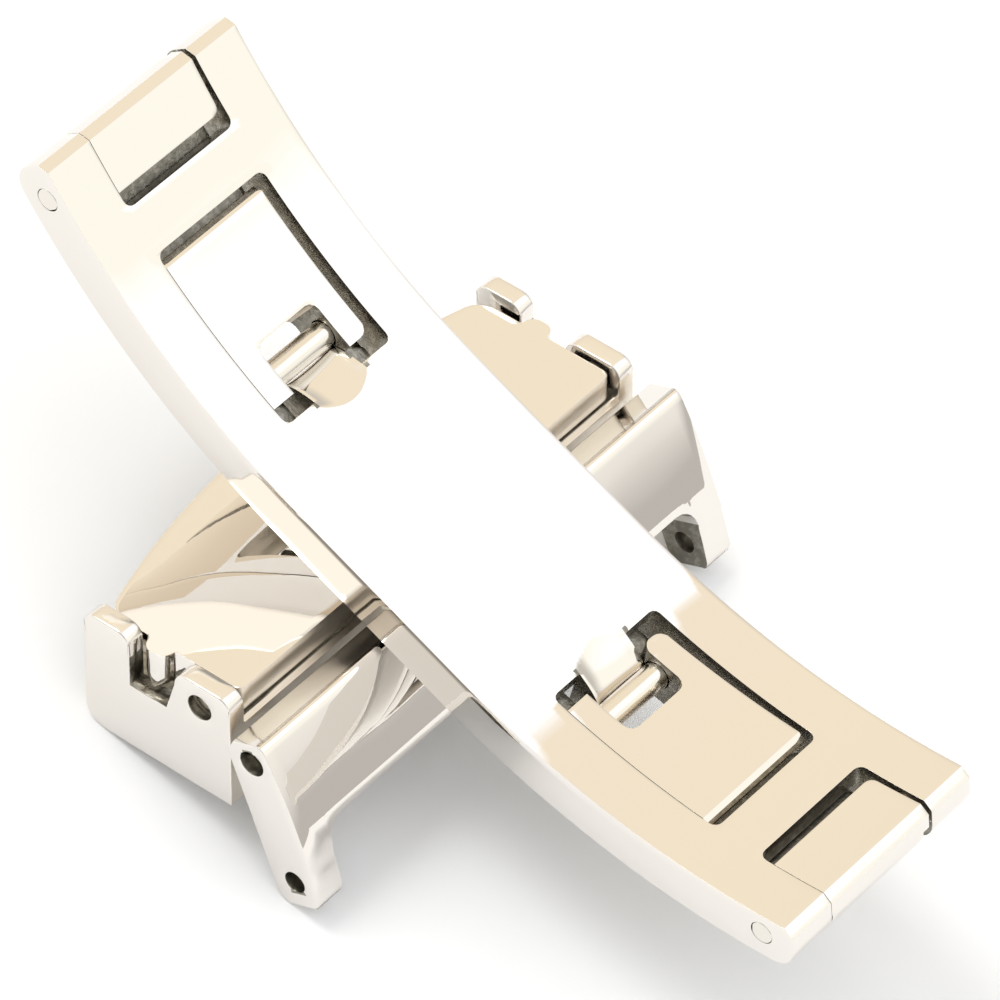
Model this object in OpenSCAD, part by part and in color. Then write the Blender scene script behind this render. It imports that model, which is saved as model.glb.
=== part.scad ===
// Double-folding deployant clasp of polished steel for an 18 mm watch strap.
// It lies with its outer side down: the base plate's skin face looks up, the
// two folding arms are shut in it, and the strap clamp and the strap bracket
// stand under its middle like the two sides of a tent.
// All sizes are millimetres. X runs along the base plate, Y across it.

/* [Strap] */
// Width of the strap
strap_w = 18; // [14:0.5:24]

/* [Base plate] */
// Width of the base plate
base_w = 9; // [7:0.1:12]
// Thickness of the base plate, skin face to outer face
base_t = 1.7; // [1.5:0.05:2.1]
// Half length of the base plate, measured along its skin face
base_half = 17.35; // [16.9:0.05:20]
// Half length of the straight middle of the base plate
flat_half = 3.5; // [2.6:0.1:4.5]
// Radius of the skin face past the straight middle
bend_r = 26.4; // [22:0.2:40]
// Radius that rounds the ends over to the outer face
end_round = 0.8; // [0.3:0.05:0.9]
// Chamfer where the ends meet the skin face
end_chamfer = 0.3; // [0.1:0.05:0.35]
// Thickness of the skin left over the folded arms
skin_t = 0.75; // [0.6:0.01:0.85]
// How much farther the channel reaches under the skin than the slots, at each side
channel_step = 0.05; // [0.02:0.01:0.2]
// Nearest reach of each window to the middle
window_in = 6; // [5.6:0.05:6.1]
// Length of the web between each window and its end slot
web_l = 1.7; // [1.2:0.05:2.2]
// Length of each end slot
slot_l = 2.85; // [2.6:0.05:3.2]
// Radius of the corners of the windows and slots
corner_r = 0.3; // [0.1:0.05:0.5]

/* [Latch] */
// Width of the tab that carries the latch nose
tab_w = 2.3; // [2:0.05:2.35]
// Radius of the latch nose
nose_r = 0.62; // [0.5:0.01:0.64]
// How far the nose's centre stands in its window
nose_reach = 0.41; // [0.1:0.01:0.45]
// Depth of the nose's centre below the skin face
nose_depth = 1; // [0.9:0.01:1.05]
// Slope of the thumb scoop that leads down to the nose, in degrees
scoop_slope = 22; // [15:1:35]
// Radius of the thumb scoop
scoop_r = 3.8; // [2:0.1:6]
// Length of the scoop on the skin face, up to the window
scoop_l = 0.7; // [0.3:0.05:0.9]
// Diameter of the latch bars
bar_d = 0.86; // [0.7:0.01:0.9]
// Gap between each nose and its latch bar
latch_gap = 0.04; // [0.03:0.01:0.3]
// Depth of the latch bars' centres below the skin face
bar_depth = 0.7; // [0.6:0.01:0.8]
// How far the ends of the latch bars stop short of the arm's sides
bar_sink = 0.15; // [0.05:0.01:0.4]

/* [Folding arms] */
// Width of the folding arms
arm_w = 4.6; // [4.4:0.05:5.2]
// Play at each side of the arms in the windows and end slots
arm_side_play = 0.25; // [0.2:0.01:0.4]
// What is left of that play on the side that the arms sit to
arm_near_gap = 0.05; // [0.03:0.01:0.2]
// Gap between the arms and the skin that covers them
arm_gap = 0.1; // [0.05:0.01:0.15]
// Distance between the inner ends of the window and of the raised pad in it
pad_inset = 0.65; // [0.6:0.05:0.9]
// Gap between the outer end of the pad and the window
pad_gap = 0.3; // [0.2:0.05:0.5]
// Chamfer on the outer end of the pad
pad_chamfer = 0.25; // [0.1:0.05:0.35]
// Gap between the inner end of each end slot and the knuckle block in it
block_gap = 0.6; // [0.4:0.05:0.7]
// Gap beside the tab on its nearer side, in the notch that spans the latch bar
notch_play = 0.025; // [0.02:0.005:0.1]
// Room in the notch past the latch bar
notch_room = 0.62; // [0.4:0.01:1]
// How far the notch reaches under the skin
notch_under = 0.8; // [0.7:0.05:1.4]
// Radius of the notch's corners
notch_r = 0.35; // [0.2:0.05:0.6]
// Radius on the outer corner of the prong on the side that has the wider gap
prong_r = 0.4; // [0.1:0.05:0.6]
// Radius of the knuckles that hold the strap pieces
knuckle_r = 0.72; // [0.6:0.01:0.74]
// Play at each side of the knuckles in the clamp plate and the bracket
knuckle_play = 0.1; // [0.05:0.01:0.3]

/* [Pins] */
// Diameter of the hinge pins
pin_d = 0.8; // [0.6:0.02:0.84]
// Radial clearance where a piece turns on a pin
pin_clear = 0.03; // [0.02:0.005:0.06]
// Distance of the arm pins from the ends of the base plate
pin_in = 1.2; // [1.1:0.01:1.3]
// Depth of the arm pins below the skin face
pin_depth = 0.75; // [0.7:0.01:0.85]
// How far the clamp's pin is sunk in its walls
clamp_pin_sink = 0.3; // [0.1:0.05:0.5]
// Extra width of the holes in front of the sunk pin ends
sink_play = 0.14; // [0.04:0.02:0.2]
// How far the bracket's pin is sunk in its ends
bracket_pin_sink = 0.5; // [0.2:0.05:1]

/* [Strap clamp] */
// Room for the strap beside each edge, between the clamp's walls
clamp_play = 0.35; // [0.2:0.05:0.6]
// Thickness of the side walls
wall_t = 0.7; // [0.5:0.05:0.8]
// Length of the side walls, along the strap
clamp_l = 6.05; // [5.9:0.05:7.5]
// Height of the hinge pin above the cover's outer face
clamp_pin_h = 3.63; // [3.3:0.01:4.2]
// Distance of the hinge pin from the middle edge of the clamp
clamp_pin_edge = 1.26; // [1.25:0.01:1.3]
// Thickness of the outer cover
cover_t = 0.8; // [0.6:0.05:1]
// Height of the hinge ears above the pin
hinge_ear_h = 0.98; // [0.88:0.01:1]
// Height of the outer ears above the pin
outer_ear_h = 1.25; // [1:0.05:1.4]
// Radius of the cover's outer corner
foot_r = 0.8; // [0.4:0.05:1.1]
// Height of the cross rib
rib_h = 0.8; // [0.4:0.05:1]
// Depth of the top of the cross rib below the pin
rib_drop = 0.36; // [0.34:0.01:0.6]
// Thickness of the cross rib
rib_t = 0.25; // [0.2:0.01:0.27]
// Angle that the strap clamp hangs at
clamp_hang = 25.5; // [20:0.5:30]
// Place of the strap clamp's hinge along the base plate
clamp_hinge_x = 1.41; // [1.3:0.01:1.8]
// Depth of the strap clamp's hinge below the skin face
clamp_hinge_z = 3.31; // [3.2:0.01:3.6]

/* [Clamp plate] */
// Thickness of the clamp plate
plate_t = 1; // [0.8:0.05:1.2]
// Height of the clamp plate's face above the hinge pin
plate_h = 0.77; // [0.74:0.01:0.85]
// Gap between the clamp plate and each side wall
plate_gap = 0.15; // [0.08:0.01:0.25]
// Reach of the clamp plate past the hinge pin, towards the middle
plate_in = 0.97; // [0.9:0.01:0.98]
// Reach of the clamp plate past the side walls, at its middle
plate_bulge = 1.1; // [0.2:0.1:1.5]
// Radius of the clamp plate's bulged outer edge
plate_edge_r = 30; // [28:1:60]
// Radius of the clamp plate's corners
plate_corner = 0.6; // [0.2:0.05:1]
// Width of the finger nubs
nub_w = 1; // [0.6:0.05:1.1]
// How far the finger nubs stop short of the wall's outer face
nub_sink = 0.35; // [0.1:0.05:0.5]
// Diameter of the strap peg
peg_d = 1.2; // [0.8:0.1:1.6]
// Height of the strap peg above the cover
peg_h = 1.9; // [1:0.1:2]
// Distance between the hinge pin and the strap peg
peg_at = 2.6; // [2:0.1:3.6]

/* [Strap bracket] */
// Room for the strap beside each edge, between the bracket's ears
bracket_play = 0.2; // [0.1:0.05:0.6]
// Width of each ear
ear_w = 1.2; // [0.8:0.05:1.6]
// Length of the strap bracket
bracket_l = 6.3; // [6.1:0.05:7]
// Thickness of the strap bracket behind its pin
bracket_back = 0.92; // [0.85:0.01:0.95]
// Thickness of the strap bracket in front of its pin, at the crown
bracket_front = 0.98; // [0.9:0.01:1.02]
// Distance of the hinge pin from the top edge
bracket_pin_edge = 0.77; // [0.75:0.01:0.8]
// Distance between the hinge pin and the spring bar holes
bracket_reach = 4.6; // [4.4:0.05:5]
// Diameter of the spring bar holes
spring_hole_d = 0.8; // [0.6:0.05:1]
// Length of the ears
ear_l = 2.6; // [2.3:0.05:2.8]
// Radius of the crowned front face
crown_r = 20; // [16:1:60]
// Radius of the front corners in section
bracket_round = 0.25; // [0.15:0.05:0.4]
// Chamfer on the back corners in section
back_chamfer = 0.4; // [0.3:0.05:0.5]
// Radius between each ear and the edge
ear_fillet = 0.8; // [0.3:0.05:1]
// Angle that the strap bracket hangs at
bracket_hang = 42.7; // [38:0.1:46]
// Place of the strap bracket's hinge along the base plate
bracket_hinge_x = 1.06; // [1.05:0.01:1.4]
// Depth of the strap bracket's hinge below the skin face
bracket_hinge_z = 2.82; // [2.8:0.01:3.2]

/* [Hidden] */
$fn = 64;

// Steel as the photograph shows it: warm on the polished faces, greyer on the pins
warm_steel = [0.86, 0.82, 0.75];
pale_steel = [0.88, 0.86, 0.84];
pin_steel = [0.74, 0.72, 0.69];

// How far a cutter runs past the solid it cuts
past = 2;
bend_x = flat_half;
slot_w = arm_w + 2 * arm_side_play;
channel_w = slot_w + 2 * channel_step;
slot_in = base_half - slot_l;
window_out = slot_in - web_l;
pin_at = base_half - pin_in;
nose_at = window_in + nose_reach;
scoop_at = window_in - scoop_l;
bar_at = nose_at + nose_r + latch_gap + bar_d / 2;
bar_l = arm_w - 2 * bar_sink;
arm_shift = arm_near_gap - arm_side_play;
arm_top = skin_t + arm_gap;
pad_in = window_in + pad_inset;
pad_out = window_out - pad_gap;
block_in = slot_in + block_gap;
notch_w = tab_w + 2 * (abs(arm_shift) + notch_play);
notch_out = bar_at + bar_d / 2 + notch_room;
notch_in = window_in - notch_under;
bore_d = pin_d + 2 * pin_clear;
arm_cut_w = arm_w + 2 * (abs(arm_shift) + knuckle_play);
clamp_in_w = strap_w + 2 * clamp_play;
clamp_w = clamp_in_w + 2 * wall_t;
bracket_w = strap_w + 2 * (bracket_play + ear_w);
plate_w = clamp_in_w - 2 * plate_gap;

// Corners of the clamp in its own section, with the hinge pin at the origin
clamp_edge = -clamp_pin_edge;
clamp_end = clamp_l - clamp_pin_edge;
clamp_floor = -clamp_pin_h;
// The notch between the ears of a side wall
notch_floor = -0.88;
notch_near = 1.3;
notch_far = 2.9;
hinge_ear_end = 1.15;
nub_at = (notch_near + notch_far) / 2 + 0.06;
nub_bottom = notch_floor + 0.13;
plate_out = clamp_end + plate_bulge;
rib_out = min(clamp_edge, -(plate_in + rib_t + 0.04));

bracket_top = -bracket_pin_edge;
foot_chamfer = 0.26;
bracket_end = bracket_l - bracket_pin_edge;
crown_at = bracket_l / 2 - bracket_pin_edge;
crown_z = bracket_front - crown_r;

// Angle, in degrees, that the plate has turned through at a place along its skin
function turn(s) = s <= flat_half ? 0 : (s - flat_half) / bend_r * 180 / PI;
// Point at place s along the skin and depth d below it, as [x, z]
function spot(s, d) = s <= flat_half ? [s, -d] :
    [bend_x + (bend_r + d) * sin(turn(s)), bend_r - (bend_r + d) * cos(turn(s))];
// Point of a hanging piece, from its own section to the base plate's section
function hung(at, side, angle, u, w) = [
    at[0] + side * (u * cos(angle) + w * sin(angle)),
    at[1] - u * sin(angle) + w * cos(angle)];

clamp_hinge = [-clamp_hinge_x, -clamp_hinge_z];
bracket_hinge = [bracket_hinge_x, -bracket_hinge_z];

// The clasp stands on the clamp's rounded foot and the lower edge of the bracket's
// back chamfer, so it leans by the angle of the line that touches both
clamp_foot = hung(clamp_hinge, -1, clamp_hang, clamp_end - foot_r, clamp_floor + foot_r);
bracket_foot = hung(bracket_hinge, 1, bracket_hang, bracket_end, -bracket_back + foot_chamfer);
foot_gap = norm(bracket_foot - clamp_foot);
lean = atan2(bracket_foot[1] - clamp_foot[1], bracket_foot[0] - clamp_foot[0])
    + asin(foot_r / foot_gap);
function leaned(p) = [p[0] * cos(lean) + p[1] * sin(lean), p[1] * cos(lean) - p[0] * sin(lean)];
stand = foot_r - leaned(clamp_foot)[1];
// The middle between the two rounded ends of the base plate is the origin
end_spot = spot(base_half - end_round, base_t - end_round);
shift = -(leaned(end_spot)[0] + leaned([-end_spot[0], end_spot[1]])[0]) / 2;

// Stands a piece drawn in the base plate's frame on the surface
module lying() translate([shift, 0, stand]) rotate([0, lean, 0]) children();

// Extrudes a section drawn in X and Z across the width w, centred on Y
module across(w) rotate([90, 0, 0]) linear_extrude(height = w, center = true) children();

// Part of a bent plate from place s1 to s2 and from depth d1 to d2, on the +X side
module band(s1, s2, d1, d2) {
    reach = 2 * bend_r;
    if (s1 < flat_half)
        translate([s1, -d2]) square([min(s2, flat_half) - s1, d2 - d1]);
    if (s2 > flat_half) {
        a1 = turn(max(s1, flat_half));
        a2 = turn(s2);
        translate([bend_x, bend_r]) intersection() {
            difference() {
                circle(r = bend_r + d2, $fn = 360);
                circle(r = bend_r + d1, $fn = 360);
            }
            polygon([[0, 0], reach * [sin(a1), -cos(a1)], reach * [sin(a2), -cos(a2)]]);
        }
    }
}

// Both halves of a band
module double_band(s, d1, d2) {
    band(0, s, d1, d2);
    mirror([1, 0]) band(0, s, d1, d2);
}

// What is cut from the end of the plate: the outer corner's round and the skin chamfer
module end_trim() {
    c = spot(base_half - end_round, base_t - end_round);
    difference() {
        band(base_half - end_round, base_half + past, base_t - end_round, base_t + past);
        translate(c) circle(r = end_round);
    }
    polygon([spot(base_half - end_chamfer, 0), spot(base_half - end_chamfer, -1),
        spot(base_half + 1, -1), spot(base_half + 1, end_chamfer), spot(base_half, end_chamfer)]);
}

// Puts children on the pin, bar or nose axis at place s and depth d
module on_axis(s, d) {
    p = spot(s, d);
    translate([p[0], 0, p[1]]) rotate([90, 0, 0]) children();
}

module rod(d, l) cylinder(d = d, h = l, center = true);

module both_ends() {
    children();
    mirror([1, 0, 0]) children();
}

// Shallow sloped scoop in the skin face that leads down to the nose
module scoop() {
    p = spot(scoop_at, 0);
    reach = nose_at + nose_r + 0.1 - scoop_at;
    translate([p[0], 0, p[1]]) rotate([0, scoop_slope - turn(scoop_at), 0])
        translate([0, 0, scoop_r]) rotate([0, 90, 0]) cylinder(r = scoop_r, h = reach);
}

// What rounds two corners, w apart, where a cut or a solid ends at place s: its end
// faces outward for side 1 and inward for side -1, and z0 to z1 is its height. ways
// holds 0 for the corner on the +Y side and 1 for the other
module corners(s, side, w, r, z0, z1, ways = [0, 1]) {
    p = spot(s, 0);
    translate([p[0], 0, p[1]]) rotate([0, -turn(s), 0]) for (m = ways) mirror([0, m, 0])
        difference() {
            translate([side > 0 ? -r : -1, w / 2 - r, z0]) cube([1 + r, 1 + r, z1 - z0]);
            translate([-side * r, w / 2 - r, z0 - 1]) cylinder(r = r, h = z1 - z0 + 2);
        }
}

// One end of the base plate's cuts: window, end slot and arm pin hole
module base_cuts() {
    difference() {
        across(slot_w) band(window_in, window_out, -1, base_t + 1);
        corners(window_out, 1, slot_w, corner_r, -3, 2);
    }
    difference() {
        across(slot_w) band(slot_in, base_half + past, -1, base_t + 1);
        corners(slot_in, -1, slot_w, corner_r, -3, 2);
    }
    on_axis(pin_at, pin_depth) rod(pin_d, base_w + past);
}

module base_solid() {
    difference() {
        across(base_w) difference() {
            double_band(base_half, 0, base_t);
            end_trim();
            mirror([1, 0]) end_trim();
        }
        across(channel_w) double_band(base_half + past, skin_t, base_t + 1);
        both_ends() base_cuts();
    }
    both_ends() across(tab_w) band(window_in - 0.5, nose_at, skin_t / 2, nose_depth);
}

module base_plate() color(warm_steel) lying() {
    difference() {
        base_solid();
        both_ends() scoop();
    }
    both_ends() on_axis(nose_at, nose_depth) rod(2 * nose_r, tab_w);
}

// Section of a folding arm, with its knuckle at the hinge [x, -z]
module arm_section(hinge_x, hinge_z) {
    difference() {
        union() {
            band(hinge_x - knuckle_r, base_half, arm_top, base_t);
            band(pad_in, pad_out, 0, base_t);
            band(block_in, base_half, 0, base_t);
        }
        end_trim();
        polygon([spot(pad_out - pad_chamfer, 0), spot(pad_out - pad_chamfer, -0.1),
            spot(pad_out + 0.1, -0.1), spot(pad_out + 0.1, pad_chamfer), spot(pad_out, pad_chamfer)]);
    }
    translate([hinge_x - knuckle_r, -hinge_z])
        square([2 * knuckle_r, hinge_z - (arm_top + base_t) / 2]);
    translate([hinge_x, -hinge_z]) circle(r = knuckle_r);
}

// Through notch of the arm, with rounded corners at its outer end
module notch() difference() {
    across(notch_w) band(notch_in, notch_out, -1, base_t + 1);
    corners(notch_out, 1, notch_w, notch_r, -3, 2);
}

// One folding arm on the +X side
module arm(hinge_x, hinge_z) translate([0, arm_shift, 0]) difference() {
    across(arm_w) arm_section(hinge_x, hinge_z);
    notch();
    corners(pad_in, -1, arm_w, prong_r, -arm_top, 1, [0]);
    on_axis(pin_at, pin_depth) rod(bore_d, arm_w + past);
    on_axis(bar_at, bar_depth) rod(bar_d, bar_l);
    translate([hinge_x, 0, -hinge_z]) rotate([90, 0, 0]) rod(bore_d, arm_w + past);
}

module latch_bar() translate([0, arm_shift, 0]) on_axis(bar_at, bar_depth) rod(bar_d, bar_l);
module arm_pin() on_axis(pin_at, pin_depth) rod(pin_d, base_w);

module bracket_arm() color(warm_steel) lying() arm(bracket_hinge_x, bracket_hinge_z);
module clamp_arm() color(warm_steel) lying() mirror([1, 0, 0]) arm(clamp_hinge_x, clamp_hinge_z);
module bracket_arm_pin() color(pin_steel) lying() arm_pin();
module clamp_arm_pin() color(pin_steel) lying() mirror([1, 0, 0]) arm_pin();
module bracket_arm_latch_bar() color(pin_steel) lying() latch_bar();
module clamp_arm_latch_bar() color(pin_steel) lying() mirror([1, 0, 0]) latch_bar();

// Hole through a piece of width w for a pin whose ends are sunk in it
module sunk_hole(w, sink) {
    rotate([90, 0, 0]) rod(pin_d, w + past);
    for (m = [0, 1]) mirror([0, m, 0]) translate([0, w / 2 - sink, 0]) rotate([-90, 0, 0])
        cylinder(d = pin_d + sink_play, h = sink + past);
}

// Frame of the strap clamp: origin on its hinge pin, +X away from the middle
module in_clamp() lying() translate([clamp_hinge[0], 0, clamp_hinge[1]])
    rotate([0, -clamp_hang, 0]) mirror([1, 0, 0]) children();

// Frame of the strap bracket: origin on its hinge pin, +X away from the middle
module in_bracket() lying() translate([bracket_hinge[0], 0, bracket_hinge[1]])
    rotate([0, bracket_hang, 0]) children();

// Side wall of the strap clamp in section: two ears with the finger notch between
module wall_section() {
    ear_r = 0.45;
    translate([clamp_edge, clamp_floor + foot_r])
        square([clamp_l, notch_floor - clamp_floor - foot_r]);
    translate([clamp_edge, clamp_floor]) square([clamp_l - foot_r, foot_r]);
    translate([clamp_end - foot_r, clamp_floor + foot_r]) circle(r = foot_r);
    // hinge ear, with a slightly sloped flank
    polygon([[clamp_edge, notch_floor], [notch_near, notch_floor],
        [hinge_ear_end, hinge_ear_h - ear_r], [clamp_edge, hinge_ear_h - ear_r]]);
    ear_top(clamp_edge, hinge_ear_end, hinge_ear_h, ear_r);
    translate([notch_far, notch_floor])
        square([clamp_end - notch_far, outer_ear_h - notch_floor - ear_r]);
    ear_top(notch_far, clamp_end, outer_ear_h, ear_r);
}

// Rounded top of an ear that reaches from x1 to x2 and up to h
module ear_top(x1, x2, h, r) {
    translate([x1 + r, h - r - 0.1]) square([x2 - x1 - 2 * r, r + 0.1]);
    for (x = [x1 + r, x2 - r]) translate([x, h - r]) circle(r = r);
}

module strap_clamp_shell() color(pale_steel) in_clamp() {
    difference() {
        across(clamp_w) wall_section();
        translate([clamp_edge - past, -clamp_in_w / 2, clamp_floor + cover_t])
            cube([clamp_l + 2 * past, clamp_in_w, clamp_pin_h + past]);
        sunk_hole(clamp_w, clamp_pin_sink);
        translate([peg_at, 0, clamp_floor]) cylinder(d = peg_d, h = 3 * cover_t, center = true);
    }
    // cross rib beside the hinge
    translate([rib_out, -clamp_in_w / 2 - wall_t / 2, -rib_drop - rib_h])
        cube([rib_t, clamp_in_w + wall_t, rib_h]);
}

// Clamp plate in plan: square corners at the hinge, bulged edge on the strap side
module plate_plan() {
    half = plate_w / 2;
    intersection() {
        union() {
            translate([-plate_in, -half + plate_corner])
                square([plate_out + plate_in, plate_w - 2 * plate_corner]);
            translate([-plate_in + plate_corner, -half])
                square([outer_corner + plate_in - plate_corner, plate_w]);
            for (x = [-plate_in + plate_corner, outer_corner], y = [-1, 1])
                translate([x, y * (half - plate_corner)]) circle(r = plate_corner);
        }
        translate([plate_out - plate_edge_r, 0]) circle(r = plate_edge_r, $fn = 200);
    }
}

// Place of the corner circles on the bulged side, where the edge meets the plate's end
outer_corner = plate_out - plate_edge_r
    + sqrt(pow(plate_edge_r - plate_corner, 2) - pow(plate_w / 2 - plate_corner, 2));

// Finger nub in section: flat face level with the plate, round below
module nub_section() {
    translate([nub_at - nub_w / 2, nub_bottom + nub_w / 2])
        square([nub_w, plate_h - nub_bottom - nub_w / 2]);
    translate([nub_at, nub_bottom + nub_w / 2]) circle(d = nub_w);
}

module clamp_plate() color(warm_steel) in_clamp() {
    difference() {
        union() {
            translate([0, 0, plate_h - plate_t]) linear_extrude(height = plate_t) plate_plan();
            rotate([90, 0, 0]) rod(2 * knuckle_r, plate_w);
            intersection() {
                across(clamp_w - 2 * nub_sink) nub_section();
                nub_zone();
            }
        }
        // room for the arm's knuckle between the two halves of the hinge
        translate([-plate_in - 1, -arm_cut_w / 2, -2])
            cube([plate_in + knuckle_r + 1.3, arm_cut_w, 4]);
        rotate([90, 0, 0]) rod(bore_d, clamp_w);
    }
}

// The nubs are the outer ends of the bar that nub_section draws
module nub_zone() for (y = [-1, 1])
    translate([0, y * (plate_w / 2 + 1) - 1.5, -3]) cube([clamp_l, 3, 6]);

module strap_peg() color(pin_steel) in_clamp()
    translate([peg_at, 0, clamp_floor]) cylinder(d = peg_d, h = cover_t + peg_h);

module clamp_hinge_pin() color(pin_steel) in_clamp()
    rotate([90, 0, 0]) rod(pin_d, clamp_w - 2 * clamp_pin_sink);

// Strap bracket in section: flat back with chamfers, crowned front with rounded corners
module bracket_section() difference() {
    intersection() {
        polygon([[bracket_top, back_chamfer - bracket_back], [bracket_top, bracket_front],
            [bracket_end, bracket_front], [bracket_end, foot_chamfer - bracket_back],
            [bracket_end - back_chamfer, -bracket_back], [bracket_top + back_chamfer, -bracket_back]]);
        translate([crown_at, crown_z]) circle(r = crown_r, $fn = 360);
    }
    front_round(bracket_top, 1);
    front_round(bracket_end, -1);
}

// What rounds the front corner at the end u of the section, for side 1 at its top
module front_round(u, side) {
    r = bracket_round;
    x = u + side * r;
    h = crown_z + sqrt(pow(crown_r - r, 2) - pow(x - crown_at, 2));
    // the round touches the crown in the direction from the crown's centre
    reach = [x - crown_at, h - crown_z] / (crown_r - r);
    difference() {
        polygon([[x, h], [u - side, h], [u - side, h + 1], [x + reach[0], h + reach[1]]]);
        translate([x, h]) circle(r = r);
    }
}

// Plan of the gap between the ears, with filleted corners
module ear_gap() {
    half = bracket_w / 2 - ear_w;
    translate([0, -half + ear_fillet]) square([bracket_l, 2 * (half - ear_fillet)]);
    translate([ear_fillet, -half]) square([bracket_l, 2 * half]);
    for (y = [-1, 1]) translate([ear_fillet, y * (half - ear_fillet)]) circle(r = ear_fillet);
}

module strap_bracket() color(pale_steel) in_bracket() difference() {
    across(bracket_w) bracket_section();
    translate([bracket_end - ear_l, 0, -bracket_back - 1])
        linear_extrude(height = bracket_back + bracket_front + 2) ear_gap();
    translate([bracket_top - 1, -arm_cut_w / 2, -3])
        cube([1 - bracket_top + knuckle_r + 0.2, arm_cut_w, 6]);
    sunk_hole(bracket_w, bracket_pin_sink);
    translate([bracket_reach, 0, 0]) rotate([90, 0, 0]) rod(spring_hole_d, bracket_w + past);
}

module bracket_hinge_pin() color(pin_steel) in_bracket()
    rotate([90, 0, 0]) rod(pin_d, bracket_w - 2 * bracket_pin_sink);

base_plate();
clamp_arm();
bracket_arm();
clamp_arm_pin();
bracket_arm_pin();
clamp_arm_latch_bar();
bracket_arm_latch_bar();
strap_clamp_shell();
clamp_plate();
strap_peg();
clamp_hinge_pin();
strap_bracket();
bracket_hinge_pin();
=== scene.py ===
# %% [markdown]
# # A double-folding watch clasp in polished steel
# The clasp lies on its outer side. Its curved base plate faces up, two folding arms are
# shut in the plate, and a strap clamp and a spring bar bracket hang from the arms like the
# two sides of a tent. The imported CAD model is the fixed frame: every piece below is made
# in the same metres, at the place where the CAD model has it.

# %% Load the frame
from math import cos, pi, radians, sin, sqrt

import bpy
import numpy as np
from mathutils import Matrix, Vector


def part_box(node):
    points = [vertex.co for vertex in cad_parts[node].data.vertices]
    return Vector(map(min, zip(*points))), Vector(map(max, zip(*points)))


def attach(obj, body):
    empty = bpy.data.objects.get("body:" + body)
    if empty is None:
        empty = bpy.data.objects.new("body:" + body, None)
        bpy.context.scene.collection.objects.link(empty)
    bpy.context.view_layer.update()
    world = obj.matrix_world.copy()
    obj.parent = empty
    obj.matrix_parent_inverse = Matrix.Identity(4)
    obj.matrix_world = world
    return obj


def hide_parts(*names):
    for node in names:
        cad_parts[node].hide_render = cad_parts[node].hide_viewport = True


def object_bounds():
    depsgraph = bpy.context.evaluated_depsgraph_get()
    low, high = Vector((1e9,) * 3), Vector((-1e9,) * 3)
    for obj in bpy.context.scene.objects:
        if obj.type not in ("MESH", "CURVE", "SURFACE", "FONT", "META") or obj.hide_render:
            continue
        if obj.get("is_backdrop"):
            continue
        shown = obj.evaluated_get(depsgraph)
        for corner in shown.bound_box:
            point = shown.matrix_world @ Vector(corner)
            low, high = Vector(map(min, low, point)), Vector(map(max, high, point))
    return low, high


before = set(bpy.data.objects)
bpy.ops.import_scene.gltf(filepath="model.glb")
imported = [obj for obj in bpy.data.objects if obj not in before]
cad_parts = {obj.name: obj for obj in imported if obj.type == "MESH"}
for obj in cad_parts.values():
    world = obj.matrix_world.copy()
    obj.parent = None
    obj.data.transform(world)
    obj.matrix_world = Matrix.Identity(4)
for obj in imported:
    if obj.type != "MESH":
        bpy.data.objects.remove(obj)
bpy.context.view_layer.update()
MM = 0.001

# %% [markdown]
# The photograph was taken with a long lens, from high up on one side, so that lines which
# are parallel on the clasp stay almost parallel in the picture. A 360 mm lens on a 36 mm
# sensor, a third of a metre away, gives the same flat perspective. The camera aims at a
# point inside the clasp and is rolled round its line of sight, as the real one was.

# %% Camera
AZIMUTH, ELEVATION, ROLL = radians(22.561), radians(53.622), radians(22.122)
AIM = Vector((-0.187, 1.2704, 7.7171)) * MM
DISTANCE = 316.545 * MM

back = Vector((sin(AZIMUTH) * cos(ELEVATION), -cos(AZIMUTH) * cos(ELEVATION), sin(ELEVATION)))
level_right = Vector((cos(AZIMUTH), sin(AZIMUTH), 0))
right = level_right * cos(ROLL) + back.cross(level_right) * sin(ROLL)
camera_data = bpy.data.cameras.new("camera")
camera_data.lens, camera_data.sensor_width = 360, 36
camera_data.clip_start, camera_data.clip_end = 0.01, 10
camera = bpy.data.objects.new("camera", camera_data)
axes = Matrix((right, back.cross(right), back)).transposed().to_4x4()
camera.matrix_world = Matrix.Translation(AIM + back * DISTANCE) @ axes
bpy.context.scene.collection.objects.link(camera)
bpy.context.scene.camera = camera
bpy.context.scene.view_settings.view_transform = "Standard"
print("camera at, in mm:", [round(v / MM, 1) for v in camera.location])

# %% [markdown]
# Three frames describe the clasp, all in millimetres. The base plate is drawn as if its
# skin face were rolled out flat: `s` runs along the face from the middle, `y` across it and
# `d` down into the steel. Small functions carry whole arrays of such places to the real
# ones, so that a shape can be drawn flat and then bent.

# %% The rolled-out skin
FLAT_HALF, BEND_R = 3.5, 26.4
LEAN, SHIFT, STAND = radians(8.968718), -0.369162583, 7.698048784


def lay(x, y, z):
    """From the base plate's frame to the finished one: a turn by LEAN about Y, then a shift in X
    and Z, and millimetres to metres."""
    x, y, z = np.broadcast_arrays(x, y, z)
    return MM * np.stack([x * cos(LEAN) + z * sin(LEAN) + SHIFT, y,
                          z * cos(LEAN) - x * sin(LEAN) + STAND], axis=-1)


def bend(s, y, d):
    """From the rolled-out skin to space: straight to FLAT_HALF, then an arc of radius BEND_R whose
    centre lies above, so a place goes to (BEND_R + d) times the sine and cosine of its angle."""
    s, y, d = np.broadcast_arrays(s, y, d)
    a = np.maximum(np.abs(s) - FLAT_HALF, 0) / BEND_R
    x = np.minimum(np.abs(s), FLAT_HALF) + (BEND_R + d) * np.sin(a)
    z = BEND_R - (BEND_R + d) * np.cos(a)
    return lay(np.sign(s) * x, y, np.where(a > 0, z, -d))


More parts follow.
